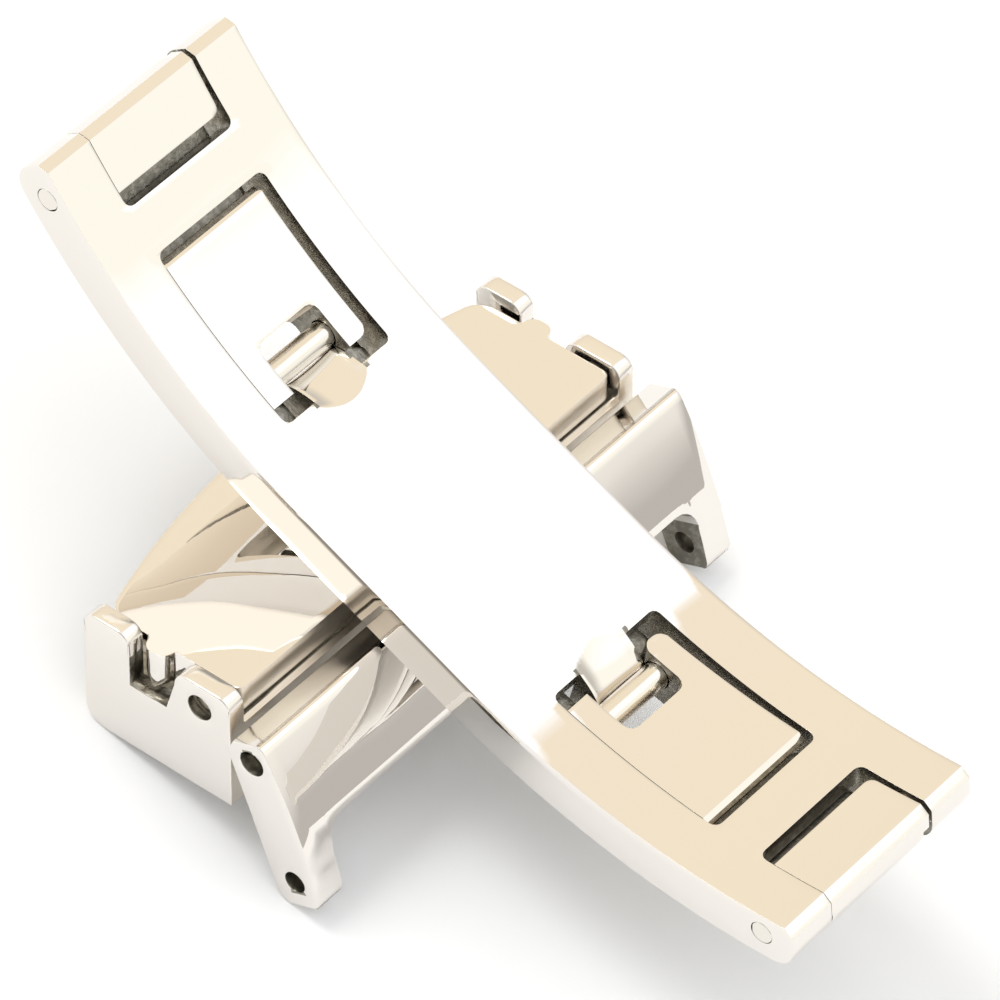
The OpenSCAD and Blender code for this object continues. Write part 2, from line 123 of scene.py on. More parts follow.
print("middle of the skin, in mm:", (bend(0, 0, 0) / MM).round(2))

# %% [markdown]
# The strap clamp and the bracket are drawn in sections of their own, with `u` along the
# piece from its hinge pin and `w` square to it. Each hangs from its pin at its own angle.

# %% The sections of the hanging pieces
CLAMP_HINGE, CLAMP_HANG = (-1.41, -3.31), radians(25.5)
BRACKET_HINGE, BRACKET_HANG = (1.06, -2.82), radians(42.7)


def hang(hinge, side, angle, u, y, w):
    """From the section of a hanging piece to space: u and w are turned by its hanging angle, away
    from the middle on its own side, and moved to its hinge pin."""
    x = hinge[0] + side * (u * cos(angle) + w * sin(angle))
    return lay(x, y, hinge[1] - u * sin(angle) + w * cos(angle))


def in_clamp(u, y, w):
    """Places of the strap clamp, which hangs on the -X side."""
    return hang(CLAMP_HINGE, -1, CLAMP_HANG, u, y, w)


def in_bracket(u, y, w):
    """Places of the spring bar bracket, which hangs on the +X side."""
    return hang(BRACKET_HINGE, 1, BRACKET_HANG, u, y, w)


print("hinge pins, in mm:", [(place(0, 0, 0) / MM).round(2) for place in (in_clamp, in_bracket)])

# %% [markdown]
# Almost every piece is a block of steel with windows, notches and round holes milled in
# it. A Boolean would cut these, but it leaves ragged faces that spoil a mirror finish.
# Here a piece is a grid of cells instead, some of them steel and the rest empty, and its
# skin is every face where steel meets an empty cell. The grid's lines are bent to follow
# bulges, round corners and holes before the skin is taken, so that all faces are clean
# four-sided ones and every seam is closed. A line that bounds no form is there to keep the
# cells even, and its place is a bare number; places are compared to within NEAR.

# %% Lines of a grid
NEAR = 0.01


def lines(*spans):
    """Grid lines from spans (start, end, steps) that follow on one another."""
    parts = [np.linspace(a, b, n + 1) for a, b, n in spans]
    return np.unique(np.round(np.concatenate(parts), 6))


def hole_lines(centre, r, steps=6):
    """Grid lines across the square that becomes a hole of radius r."""
    return np.linspace(centre - r / sqrt(2), centre + r / sqrt(2), steps + 1)


def merged(*parts):
    """Several sets of grid lines as one, without doubles."""
    return np.unique(np.round(np.concatenate([np.atleast_1d(p) for p in parts]), 6))


def grid(*marks):
    """The corners of a grid through three sets of lines, and the middles of its cells."""
    places = [a.astype(float) for a in np.meshgrid(*marks, indexing="ij")]
    return places, np.meshgrid(*[(m[1:] + m[:-1]) / 2 for m in marks], indexing="ij")


print("lines across a hole of radius 0.4 mm:", hole_lines(0, 0.4).round(3))

# %% [markdown]
# Round forms are made by moving the grid's corners. A rounded edge lowers them, a round
# corner of a window slides them along two edges, and a hole turns a square of cells into
# a disc.

# %% Round forms on a grid
def corner_drop(inside, r):
    """How far a rounded corner lies below the flat, at a distance inside its edge:
    r - sqrt(r^2 - (r - inside)^2), and nothing farther in than r."""
    x = np.clip(r - inside, 0, r)
    return r - np.sqrt(r * r - x * x)


def round_corner(t, r):
    """A round corner at even angles: for t from 0 to 1, how far it lies inside each of its two
    edges, r * (1 - cos) and r * (1 - sin) of a quarter turn times t."""
    turned = np.clip(t, 0, 1) * pi / 2
    return r * (1 - np.cos(turned)), r * (1 - np.sin(turned))


def disc(a, b):
    """A square of half width 1 onto a disc of radius 1: each concentric square becomes a circle,
    and a step along its side an even step of angle."""
    m, big_a = np.maximum(abs(a), abs(b)), abs(a) >= abs(b)
    long = np.where(big_a, a, b)
    safe = np.where(long == 0, 1, long)
    t = pi / 4 * np.where(big_a, b, a) / safe
    on_long, on_short = m * np.sign(long) * np.cos(t), m * np.sign(long) * np.sin(t)
    return np.where(big_a, on_long, on_short), np.where(big_a, on_short, on_long)


def bore(first, second, at, radius, marks):
    """Bends the lines of a grid round a hole that runs along its middle axis. marks are the lines
    through the hole's square on the two other axes, and radius may differ along the hole."""
    (i0, i1), (k0, k1) = [(int(np.argmin(abs(m - h[0]))), int(np.argmin(abs(m - h[-1]))))
                          for m, h in marks]
    a, b = np.linspace(-1, 1, i1 - i0 + 1), np.linspace(-1, 1, k1 - k0 + 1)
    round_a, round_b = disc(*np.meshgrid(a, b, indexing="ij"))
    r = np.broadcast_to(radius, first.shape[1])[None, :, None]
    first[i0:i1 + 1, :, k0:k1 + 1] = at[0] + r * round_a[:, None, :]
    second[i0:i1 + 1, :, k0:k1 + 1] = at[1] + r * round_b[:, None, :]
    return slice(i0, i1), slice(k0, k1)


print("a 0.3 mm round is lower by", corner_drop(0.15, 0.3).round(3), "mm half-way to its edge")

# %% [markdown]
# The skin of the cells is found one axis at a time. Going along an axis, steel that starts
# or ends between two cells leaves one four-sided face there, wound so that it faces out.

# %% The skin of a grid
def skin_of(places, steel):
    """Vertices and outward quads of every face between a steel cell and an empty one. places
    holds the grid's corners and steel says which cells are filled."""
    corner = np.arange(np.prod(places.shape[:3])).reshape(places.shape[:3])
    padded, quads = np.pad(steel, 1).astype(int), []
    for axis, flip in ((0, False), (1, True), (2, False)):
        cells = np.moveaxis(padded, axis, 0)[:, 1:-1, 1:-1]
        step, c = np.diff(cells, axis=0), np.moveaxis(corner, axis, 0)
        faces = np.stack([c[:, :-1, :-1], c[:, 1:, :-1], c[:, 1:, 1:], c[:, :-1, 1:]], axis=-1)
        for way in (-1, 1):
            found = faces[step == way]
            quads.append(found if (way < 0) != flip else found[:, ::-1])
    quads = np.concatenate(quads)
    used, quads = np.unique(quads, return_inverse=True)
    quads = quads.reshape(-1, 4)
    points = places.reshape(-1, 3)[used]
    p = points[quads]
    volume = np.einsum("ij,ij->i", p[:, 0], np.cross(p[:, 1], p[:, 2])).sum()
    volume += np.einsum("ij,ij->i", p[:, 0], np.cross(p[:, 2], p[:, 3])).sum()
    return points, quads if volume > 0 else quads[:, ::-1]


block, _ = grid(np.arange(3), np.arange(4), np.arange(5))
print("quads round a block of 2 x 3 x 4 cells:",
      len(skin_of(np.stack(block, axis=-1), np.ones((2, 3, 4), bool))[1]))

# %% [markdown]
# Where a rounded end closes up or a chamfer runs out, corners of the grid fall together.
# They become one, so that no face of a finished piece has a side without length.

# %% Closed faces
def closed_faces(points, quads):
    """Merges corners that fell together; a quad that lost one corner becomes a triangle, and one
    that lost more is left out. Gives the kept points, the quads and the triangles."""
    _, first, merge = np.unique(np.round(points, 6), axis=0, return_index=True, return_inverse=True)
    quads = merge.reshape(-1)[quads]
    same = quads == np.roll(quads, -1, axis=1)
    whole, tri = same.sum(1) == 0, same.sum(1) == 1
    return first, quads[whole], quads[tri][~same[tri]].reshape(-1, 3)


pinched = np.array([(0, 0, 0), (1, 0, 0), (1, 0, 0), (0, 1, 0)])
print("a quad with two corners in one place becomes", closed_faces(pinched, np.arange(4)[None])[2])

# %% [markdown]
# A real edge is never knife-sharp: it has a fine round that catches the light, and it is
# much of what makes polished steel look like steel. After a skin is put into a mesh, each
# edge that turns by more than SHARP_TURN is looked at. The outward ones get a Bevel, the
# inward ones are only marked sharp, and a Weighted Normal keeps the large faces flat
# right up to the round.

# %% Sharp edges
SHARP_TURN = 30


def edge_turns(mesh):
    """For each edge, the cosine between its two faces and whether it sticks outward: the next
    face's centre then lies below the plane of the first. An edge without two faces is open."""
    count, loops = len(mesh.polygons), len(mesh.loops)
    normal, centre = np.empty(count * 3), np.empty(count * 3)
    total, edge = np.empty(count, int), np.empty(loops, int)
    mesh.polygons.foreach_get("normal", normal)
    mesh.polygons.foreach_get("center", centre)
    mesh.polygons.foreach_get("loop_total", total)
    mesh.loops.foreach_get("edge_index", edge)
    face = np.repeat(np.arange(count), total)[np.argsort(edge, kind="stable")]
    uses = np.bincount(edge, minlength=len(mesh.edges))
    start = np.concatenate([[0], np.cumsum(uses)[:-1]])
    a, b = face[start], face[np.minimum(start + 1, loops - 1)]
    normal, centre = normal.reshape(-1, 3), centre.reshape(-1, 3)
    cosine = np.einsum("ij,ij->i", normal[a], normal[b])
    below = np.einsum("ij,ij->i", centre[b] - centre[a], normal[a])
    return cosine, below < 0, uses


def mark_edges(mesh, flat, rounded, leave):
    """Gives the outward sharp edges a bevel weight, where they are rounded and leave doesn't hold
    at their middle, and marks the other sharp ones. Gives the number of open edges."""
    cosine, outward, uses = edge_turns(mesh)
    sharp = cosine < cos(radians(SHARP_TURN))
    ends = np.empty(len(mesh.edges) * 2, int)
    mesh.edges.foreach_get("vertices", ends)
    middle = flat[ends.reshape(-1, 2)].mean(1)
    soft = sharp & outward & rounded & (leave is None or ~leave(middle))
    mesh.attributes.new("bevel_weight_edge", "FLOAT", "EDGE").data.foreach_set(
        "value", soft.astype(np.float32))
    mesh.attributes.new("sharp_edge", "BOOLEAN", "EDGE").data.foreach_set("value", sharp & ~soft)
    return int((uses != 2).sum())


print("edges are sharp from a turn of", SHARP_TURN, "degrees")

# %% [markdown]
# One function turns a skin into a finished piece. It lays the flat places in space, gives
# each face one of the piece's finishes, adds the modifiers, and seats the piece on its
# body in place of the CAD node that it stands for.

# %% From a skin to a finished piece
def finish_piece(name, flat, quads, place, body, nodes, finishes, edge=0.05, leave=None,
                 milled=None):
    """Puts flat places and their quads into a mesh laid in space by place, and rounds its outward edges by
    edge millimetres except where leave says so. milled gives each face's finish, by its number in finishes,
    from the face's centre and spans; the milled finish carries painted shade and the brushed one painted
    light."""
    first, whole, tri = closed_faces(flat, quads)
    flat = flat[first]
    points = place(*flat.T)
    p = points[np.concatenate([whole[:, :3], whole[:, [0, 2, 3]], tri])]
    if np.einsum("ij,ij->i", p[:, 0], np.cross(p[:, 1], p[:, 2])).sum() < 0:
        whole, tri = whole[:, ::-1], tri[:, ::-1]
    mesh = bpy.data.meshes.new(name)
    mesh.from_pydata(points, [], whole.tolist() + tri.tolist())
    mesh.update()
    mesh.shade_smooth()
    for finish in finishes:
        mesh.materials.append(finish)
    if milled is not None:
        centres = np.concatenate([flat[whole].mean(1), flat[tri].mean(1)])
        spans = np.concatenate([np.ptp(flat[whole], axis=1), np.ptp(flat[tri], axis=1)])
        mesh.polygons.foreach_set("material_index", np.asarray(milled(centres, spans)).astype(np.int32))
    open_edges = mark_edges(mesh, flat, bool(edge), leave)
    piece = bpy.data.objects.new(name, mesh)
    bpy.context.scene.collection.objects.link(piece)
    if edge:
        bevel = piece.modifiers.new("rounded edges", "BEVEL")
        bevel.limit_method, bevel.width, bevel.segments = "WEIGHT", edge * MM, 2
    weighted = piece.modifiers.new("flat faces", "WEIGHTED_NORMAL")
    weighted.keep_sharp = True
    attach(piece, body)
    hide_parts(*nodes)
    cad = np.array([[*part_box(n)[0], *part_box(n)[1]] for n in nodes])
    off = np.concatenate([points.min(0) - cad[:, :3].min(0), points.max(0) - cad[:, 3:].max(0)])
    print(f"{name}: {len(mesh.polygons)} faces, {open_edges} open edges, "
          f"box differs from the CAD node's by {abs(off).max() / MM:.3f} mm")
    return piece


# %% [markdown]
# The whole clasp is steel, in five finishes. The plates, the arms and the bracket are polished, the strap
# clamp is satin, and the pins are turned. Faces that lie in the shade of others are brushed, in a lighter,
# warmer copy of the steel colour that is painted light. The walls in windows and notches carry a cutter's
# marks and are milled, in a dark steel colour that is painted shade, flecked with a lighter colour that is
# painted glints. A finish is how rough the metal is and how fine scratches and tool marks bend the light.
# Both come from noise on Object coordinates, so the marks stay on a piece when it moves. The polish wanders
# in clouds, and the polished faces aren't quite flat but have slow waves. CLOUDS and WAVES say how many of
# them there are in a metre.

# %% Noise for the steel
CLOUDS, WAVES = 350, 280


def noise(nodes, links, place, scale, detail):
    """A noise of so many waves in a metre, on places given by another node."""
    texture = nodes.new("ShaderNodeTexNoise")
    texture.inputs["Scale"].default_value, texture.inputs["Detail"].default_value = scale, detail
    links.new(place, texture.inputs["Vector"])
    return texture.outputs["Fac"]


def spread_out(nodes, links, value, low, high):
    """The middle of a noise's range, 0.3 to 0.7, spread from low to high."""
    wander = nodes.new("ShaderNodeMapRange")
    wander.inputs["From Min"].default_value, wander.inputs["From Max"].default_value = 0.3, 0.7
    wander.inputs["To Min"].default_value, wander.inputs["To Max"].default_value = low, high
    links.new(value, wander.inputs["Value"])
    return wander.outputs["Result"]


def mixed_colours(nodes, links, share, under, colour):
    """Lays a colour over another by a share. Each may be a colour or a socket that gives one."""
    mixed = nodes.new("ShaderNodeMix")
    mixed.data_type = "RGBA"
    links.new(share, mixed.inputs["Factor"])
    for socket, value in ((mixed.inputs[6], under), (mixed.inputs[7], colour)):
        if isinstance(value, tuple):
            socket.default_value = value
        else:
            links.new(value, socket)
    return mixed.outputs[2]


print("slow waves are", round(1 / WAVES / MM, 1), "mm long")

# %% [markdown]
# One function makes every finish, so that they differ only in numbers: how rough, how much that wanders, how
# fine the grain is and how deep. Grain that is stretched along the Y axis reads as the strokes of a brush or
# a lathe. The milled finish is dark, which is painted shade for the walls and recesses it is given to, and
# it is flecked with a lighter colour, which is painted glints.

# %% Steel finishes
def steel_finish(name, colour, roughness, spread, grain, bump, stretch, wave=0, specks=None):
    """A metal whose roughness wanders by spread round its mean. Its surface carries grain waves in a metre,
    stretched along one axis, that lift it by bump metres, and slow ones, WAVES in a metre, that lift it by
    wave metres. specks is a second, lighter colour that it is flecked with, as painted glints."""
    material = bpy.data.materials.new(name)
    material.use_nodes = True
    nodes, links = material.node_tree.nodes, material.node_tree.links
    shader = nodes["Principled BSDF"]
    shader.inputs["Base Color"].default_value = colour
    shader.inputs["Metallic"].default_value = 1
    place = nodes.new("ShaderNodeTexCoord").outputs["Object"]
    mapping = nodes.new("ShaderNodeMapping")
    mapping.inputs["Scale"].default_value = stretch
    links.new(place, mapping.inputs["Vector"])
    stretched = mapping.outputs["Vector"]
    clouds = noise(nodes, links, place, CLOUDS, 3)
    links.new(spread_out(nodes, links, clouds, roughness - spread, roughness + spread),
              shader.inputs["Roughness"])
    normal = None
    for scale, detail, vector, height in ((grain, 4, stretched, bump), (WAVES, 0, place, wave)):
        if height == 0:
            continue
        raised = nodes.new("ShaderNodeBump")
        raised.inputs["Strength"].default_value, raised.inputs["Distance"].default_value = 1, height
        links.new(noise(nodes, links, vector, scale, detail), raised.inputs["Height"])
        if normal is not None:
            links.new(normal, raised.inputs["Normal"])
        normal = raised.outputs["Normal"]
    links.new(normal, shader.inputs["Normal"])
    if specks:
        flecks = spread_out(nodes, links, noise(nodes, links, stretched, grain / 2, 2), -0.6, 1)
        links.new(mixed_colours(nodes, links, flecks, colour, specks), shader.inputs["Base Color"])
    return material


# The warm steel colour is a lighter, warmer copy of the steel: painted light for the brushed faces that lie
# in the shade of others.
STEEL, PAINTED_LIGHT_STEEL, PIN_STEEL = (0.80, 0.765, 0.72, 1), (0.84, 0.78, 0.69, 1), (0.78, 0.74, 0.68, 1)
# The dark steel colour is painted shade for milled walls and recesses, and the lighter colour that flecks it
# is painted glints.
PAINTED_SHADE_STEEL, PAINTED_GLINT_STEEL = (0.24, 0.225, 0.19, 1), (0.38, 0.36, 0.31, 1)
POLISHED = steel_finish("polished steel", STEEL, 0.022, 0.006, 2500, 5e-7, (1, 0.15, 1), wave=6e-5)
SATIN = steel_finish("satin steel", STEEL, 0.13, 0.03, 6000, 2e-6, (1, 0.2, 1))
BRUSHED_PAINTED_LIGHT = steel_finish("brushed steel with painted light", PAINTED_LIGHT_STEEL, 0.34, 0.05, 7000, 4e-6, (1, 0.1, 1))
MILLED_PAINTED_SHADE = steel_finish("milled steel with painted shade", PAINTED_SHADE_STEEL, 0.36, 0.08, 9000, 1.3e-5, (1, 1, 1), specks=PAINTED_GLINT_STEEL)
TURNED = steel_finish("turned steel", PIN_STEEL, 0.14, 0.04, 12000, 2e-6, (1, 0.1, 1))
print("finishes:", [material.name for material in (POLISHED, SATIN, BRUSHED_PAINTED_LIGHT, MILLED_PAINTED_SHADE, TURNED)])

# %% [markdown]
# Polished steel shows its surroundings more than itself. The photograph's skin face
# mirrors a white softbox over the middle of the clasp, a cream wall towards one end and a
# brighter, whiter room towards the other. The sky here has the same soft bands. They turn
# about the Y axis, as the bend of the base plate does, and the side that the camera stands
# on has a white panel of its own. Each band is given by its angle from overhead.

# %% Bands of the sky
FAR_SKY = [(-90, (1.0, 0.88, 0.72)), (-50, (1.11, 1.0, 0.80)), (-11, (1.11, 1.0, 0.82)),
           (-9.5, (1.38, 1.40, 1.45)), (34, (1.38, 1.40, 1.45)), (41, (1.24, 1.24, 1.15)),
           (60, (1.24, 1.24, 1.15)), (75, (1.0, 0.98, 0.95)), (84, (0.62, 0.60, 0.58)),
           (90, (0.62, 0.60, 0.58))]
NEAR_SKY = [(-90, (1.15, 1.14, 1.12)), (-68, (1.15, 1.14, 1.12)), (-60, (1.6, 1.57, 1.5)),
            (-38, (1.6, 1.57, 1.5)), (-28, (1.15, 1.14, 1.12)), (90, (1.05, 1.04, 1.03))]


def band_colours(nodes, links, turned, bands):
    """A colour for each angle about the Y axis, blended evenly between the bands' own angles."""
    ramp_node = nodes.new("ShaderNodeValToRGB")
    links.new(turned, ramp_node.inputs["Fac"])
    stops = ramp_node.color_ramp.elements
    while len(stops) < len(bands):
        stops.new(0.5)
    for stop, (degree, colour) in zip(stops, bands):
        stop.position = (degree + 90) / 180
        stop.color = (*colour, 1)
    return ramp_node.outputs["Color"]


def between(nodes, links, value, start, end):
    """0 where a value is at start or before it, 1 at end or past it, and a soft step between."""
    step = nodes.new("ShaderNodeMapRange")
    step.interpolation_type = "SMOOTHSTEP"
    step.inputs["From Min"].default_value, step.inputs["From Max"].default_value = start, end
    links.new(value, step.inputs["Value"])
    return step.outputs["Result"]


print("sky bands, in degrees from overhead:", [degree for degree, _ in FAR_SKY])

# %% [markdown]
# Faces that look along the Y axis, such as the sides of the base plate and of the clamp,
# mirror what stands there: a pale grey wall behind the clasp and a darker one on the
# camera's side. A small soft lamp high on the -X side puts a bright line on rounded edges.
# The sky is built up like paint: the bands first, and then each of these over them.

# %% Studio sky
FAR_WALL, NEAR_WALL, LAMP_COLOUR = (0.70, 0.67, 0.62, 1), (0.42, 0.41, 0.38, 1), (8.0, 7.9, 7.7, 1)
LAMP_WAY, LAMP_EDGE, LAMP_CORE = Vector((-0.6, -0.12, 0.79)).normalized(), cos(radians(16)), cos(radians(6))

world = bpy.data.worlds.new("studio")
bpy.context.scene.world = world
world.use_nodes = True
nodes, links = world.node_tree.nodes, world.node_tree.links
way = nodes.new("ShaderNodeTexCoord").outputs["Generated"]
axes_xyz = nodes.new("ShaderNodeSeparateXYZ")
links.new(way, axes_xyz.inputs["Vector"])
angle = nodes.new("ShaderNodeMath")
angle.operation = "ARCTAN2"
links.new(axes_xyz.outputs["X"], angle.inputs[0])
links.new(axes_xyz.outputs["Z"], angle.inputs[1])
turn = nodes.new("ShaderNodeMapRange")
turn.inputs["From Min"].default_value, turn.inputs["From Max"].default_value = -pi / 2, pi / 2
links.new(angle.outputs["Value"], turn.inputs["Value"])
toward_lamp = nodes.new("ShaderNodeVectorMath")
toward_lamp.operation = "DOT_PRODUCT"
toward_lamp.inputs[1].default_value = LAMP_WAY
links.new(way, toward_lamp.inputs[0])

along_y, bands = axes_xyz.outputs["Y"], turn.outputs["Result"]
sky = band_colours(nodes, links, bands, FAR_SKY)
for value, start, end, colour in (
        (along_y, 0.25, -0.25, band_colours(nodes, links, bands, NEAR_SKY)),
        (along_y, 0.74, 0.88, FAR_WALL),
        (along_y, -0.62, -0.76, NEAR_WALL),
        (toward_lamp.outputs["Value"], LAMP_EDGE, LAMP_CORE, LAMP_COLOUR)):
    sky = mixed_colours(nodes, links, between(nodes, links, value, start, end), sky, colour)
links.new(sky, nodes["Background"].inputs["Color"])
print("the sky has", len(nodes), "nodes, and its lamp stands at", [round(v, 2) for v in LAMP_WAY])

# %% [markdown]
# The base plate is a bent strip of steel with a channel milled along its outer side, so
# that only a thin skin is left over the folded arms. Two windows and two end slots go
# through the skin. At the inner end of each window a scoop for the thumb leads down to the
# latch nose. The strip is drawn rolled out; the scoop is a tilted cylinder and the nose
# half a round bar, and both are written into the depth of the grid's top lines.

# %% Base plate: sizes, ends and thumb scoops
BASE_W, BASE_T, BASE_HALF, SKIN_T = 9.0, 1.7, 17.35, 0.75
WINDOW_IN, WINDOW_OUT, SLOT_IN, SLOT_W, CORNER_R, IN_CORNER_R = 6.0, 12.8, 14.5, 5.1, 0.3, 0.25
END_ROUND, END_CHAMFER = 0.8, 0.3
TAB_W, NOSE_R, NOSE_AT, NOSE_DEPTH, NOSE_FROM, NOSE_DROP = 2.3, 0.62, 6.41, 1.0, 6.25, 0.3
NOSE_END = NOSE_AT + NOSE_R
SCOOP_AT, SCOOP_SLOPE, SCOOP_R = 5.3, radians(22), 3.8
PIN_AT, PIN_DEPTH, PIN_R, PIN_FREE = 16.15, 0.75, 0.4, 0.01

end_even = np.array([16.7, 16.83, 16.95, 17.05, 17.15, 17.25, 17.35])
end_arc = BASE_HALF - END_ROUND * (1 - np.cos(np.linspace(pi / 2, 0, len(end_even))))


def end_trim(s, d, shelf):
    """Shapes the ends of a bent piece. On the outer side the lines follow a round of END_ROUND and
    those below the shelf close up to it; on the skin side the last END_CHAMFER slopes down."""
    place = abs(s)
    arc = np.where(place > end_even[0] - NEAR, np.interp(place, end_even, end_arc), place)
    outer = BASE_T - corner_drop(BASE_HALF - arc, END_ROUND)
    deep, skin, last = (d > shelf) & (d < BASE_T + NEAR), np.isclose(d, 0), np.isclose(d, BASE_T)
    new_d = np.where(deep, shelf + (d - shelf) * (outer - shelf) / (BASE_T - shelf), d)
    new_d = np.where(skin, np.maximum(END_CHAMFER - (BASE_HALF - place), 0), new_d)
    return np.where(last, np.sign(s) * arc, s), new_d


def scoop_depth(s, y):
    """How deep the thumb scoop is: it sinks with its slope from SCOOP_AT on, less the rise of a
    cylinder of radius SCOOP_R at each side."""
    rise = (SCOOP_R - np.sqrt(SCOOP_R**2 - np.minimum(abs(y), 3) ** 2)) / cos(SCOOP_SLOPE)
    return np.maximum((abs(s) - SCOOP_AT) * np.tan(SCOOP_SLOPE) - rise, 0)


print("a scoop is", scoop_depth(WINDOW_IN, 0).round(2), "mm deep at its window")

# %% [markdown]
# The grid has a line at every edge of a window, slot, tab or hole, for one half of the
# plate, and the other half mirrors it. Through the skin there is steel except in the
# windows and slots, where only the tabs are left; below the skin only the two rails are.

# %% Base plate: the grid and its steel
half_s = merged(np.linspace(0, 5.2, 22), np.linspace(5.2, WINDOW_IN, 9),
                WINDOW_IN + IN_CORNER_R * np.linspace(0, 1, 4),
                lines((NOSE_AT, NOSE_END, 10), (NOSE_END, WINDOW_OUT - CORNER_R, 22)),
                lines((WINDOW_OUT - CORNER_R, WINDOW_OUT, 4), (WINDOW_OUT, SLOT_IN, 7)),
                lines((SLOT_IN, SLOT_IN + CORNER_R, 4), (SLOT_IN + CORNER_R, 15.8, 4)),
                hole_lines(PIN_AT, PIN_R), end_even)
half_y = lines((0, TAB_W / 2, 6), (TAB_W / 2, SLOT_W / 2, 9), (SLOT_W / 2, BASE_W / 2, 5))
line_s, line_y = merged(-half_s, half_s), merged(-half_y, half_y)
line_d = merged((0, 0.36), hole_lines(PIN_DEPTH, PIN_R), BASE_T)
(S, Y, D), (cs, cy, cd) = grid(line_s, line_y, line_d)

in_window = (abs(cs) > WINDOW_IN) & (abs(cs) < WINDOW_OUT)
in_slot = (abs(cy) < SLOT_W / 2) & (in_window | (abs(cs) > SLOT_IN))
tab = (abs(cy) < TAB_W / 2) & (abs(cs) < NOSE_END)
steel = np.where(cd < SKIN_T, ~in_slot | tab, abs(cy) > SLOT_W / 2)
print("base plate:", int(steel.sum()), "cells of steel out of", steel.size)

# %% [markdown]
# The corners of the windows and slots are round, because the cutter is. On each corner
# the lines along the slot's sides slide onto an arc, and the lines that end on its short
# edge are squeezed between the two arcs.

# %% Base plate: round corners of the windows
place, in_skin = abs(S), D < SKIN_T + NEAR
rim = np.isclose(abs(Y), SLOT_W / 2) & in_skin
for edge_at, way, r in ((WINDOW_IN, 1, IN_CORNER_R), (WINDOW_OUT, -1, CORNER_R), (SLOT_IN, 1, CORNER_R)):
    t = (place - edge_at) * way / r
    at_corner = rim & (t > -NEAR) & (t < 1 + NEAR)
    along, across = round_corner(t, r)
    on_edge = in_skin & (abs(t) < NEAR) & (abs(Y) > TAB_W / 2) & ~rim
    squeezed = TAB_W / 2 + (abs(Y) - TAB_W / 2) * (1 - 2 * r / (SLOT_W - TAB_W))
    Y = np.where(on_edge & (abs(Y) < SLOT_W / 2), np.sign(Y) * squeezed, Y)
    Y = np.where(at_corner, np.sign(Y) * (SLOT_W / 2 - across), Y)
    S = np.where(at_corner, np.sign(S) * (edge_at + way * along), S)
print("grid corners slid onto the arcs:", int((abs(S) != place).sum()))

# %% [markdown]
# Now the depth. The top lines sink into the scoops, and on each tab the grid closes up
# round the nose, whose upper edge curves down so that the latch bar can slide over it.

# %% Base plate: noses and pin holes
on_tab = (abs(Y) < TAB_W / 2 + NEAR) & (place > WINDOW_IN + NEAR) & (place < NOSE_END + NEAR)
turned = np.clip((place - NOSE_AT) / NOSE_R, 0, 1) * pi / 2
S = np.where(on_tab & (place > NOSE_AT), np.sign(S) * (NOSE_AT + NOSE_R * np.sin(turned)), S)
reach = np.clip((abs(S) - NOSE_FROM) / (NOSE_END - NOSE_FROM), 0, 1)
drop = np.where(on_tab, NOSE_DROP * (1 - np.sqrt(1 - reach**2)), 0)
top = np.where(place < NOSE_END + NEAR, scoop_depth(S, Y), 0) + drop
round_under = NOSE_DEPTH + np.sqrt(np.maximum(NOSE_R**2 - (abs(S) - NOSE_AT) ** 2, 0))
under = np.where(on_tab, np.maximum(round_under, top), SKIN_T)
S, new_D = end_trim(S, D, SKIN_T)
D = np.where((abs(S) < SLOT_IN) & in_skin, top + (under - top) * D / SKIN_T, new_D)
for side in (-1, 1):
    marks = (line_s, hole_lines(side * PIN_AT, PIN_R)), (line_d, hole_lines(PIN_DEPTH, PIN_R))
    i, k = bore(S, D, (side * PIN_AT, PIN_DEPTH), PIN_R + PIN_FREE, marks)
    steel[i, :, k] = False
print("noses reach", under.max().round(2), "mm below the skin")

# %% [markdown]
# The skin and the outer sides are polished. Only the faces inside the cuts are not: their walls get the
# milled finish's painted shade and the channel's top the brushed finish's painted light. They are told apart
# by where they lie and by how far they span along, across and down.

# %% Base plate: finish
WALL_RISE, WALL_THIN, END_FROM = 0.05, 0.13, 16.6


def plate_finish_and_painted_shading(centres, spans):
    """The walls of windows and slots are milled, in the dark colour that is painted shade, and the channel's
    top is brushed, in the lighter colour that is painted light. A wall rises by more than WALL_RISE and is
    one cell, under WALL_THIN, along or across."""
    s, y, d = abs(centres[:, 0]), abs(centres[:, 1]), centres[:, 2]
    wall = (spans[:, 2] > WALL_RISE) & ((spans[:, 0] < WALL_THIN) | (spans[:, 1] < WALL_THIN))
    outside = (y > BASE_W / 2 - NEAR) | ((s > END_FROM) & (y > SLOT_W / 2 + NEAR))
    on_nose = (y < TAB_W / 2 - NEAR) & (s < 8)
    on_ceiling = (abs(d - SKIN_T) < 2 * NEAR) & (y < SLOT_W / 2 - NEAR) & (spans[:, 2] < WALL_RISE)
    return np.where(on_nose, 0, np.where(on_ceiling, 2, wall & ~outside))


flat, quads = skin_of(np.stack([S, Y, D], axis=-1), steel)
finish_piece("polished_base_plate", flat, quads, bend, "base", ["base_plate"],
             [POLISHED, MILLED_PAINTED_SHADE, BRUSHED_PAINTED_LIGHT], edge=0.06, milled=plate_finish_and_painted_shading,
             leave=lambda m: (abs(abs(m[:, 0]) - PIN_AT) < 0.5) & (abs(m[:, 2] - PIN_DEPTH) < 0.5))

# %% [markdown]
# Each folding arm is a thick strip with two raised fields. One fills the window like a
# plug, the other fills the end slot, and both lie level with the skin of the base plate
# when the clasp is shut. A notch splits the inner end into two prongs that hold the latch
# bar. Under the inner end hangs a knuckle with the hole for a hinge pin. The arms are
# drawn on the same rolled-out skin as the plate, so they bend with it.

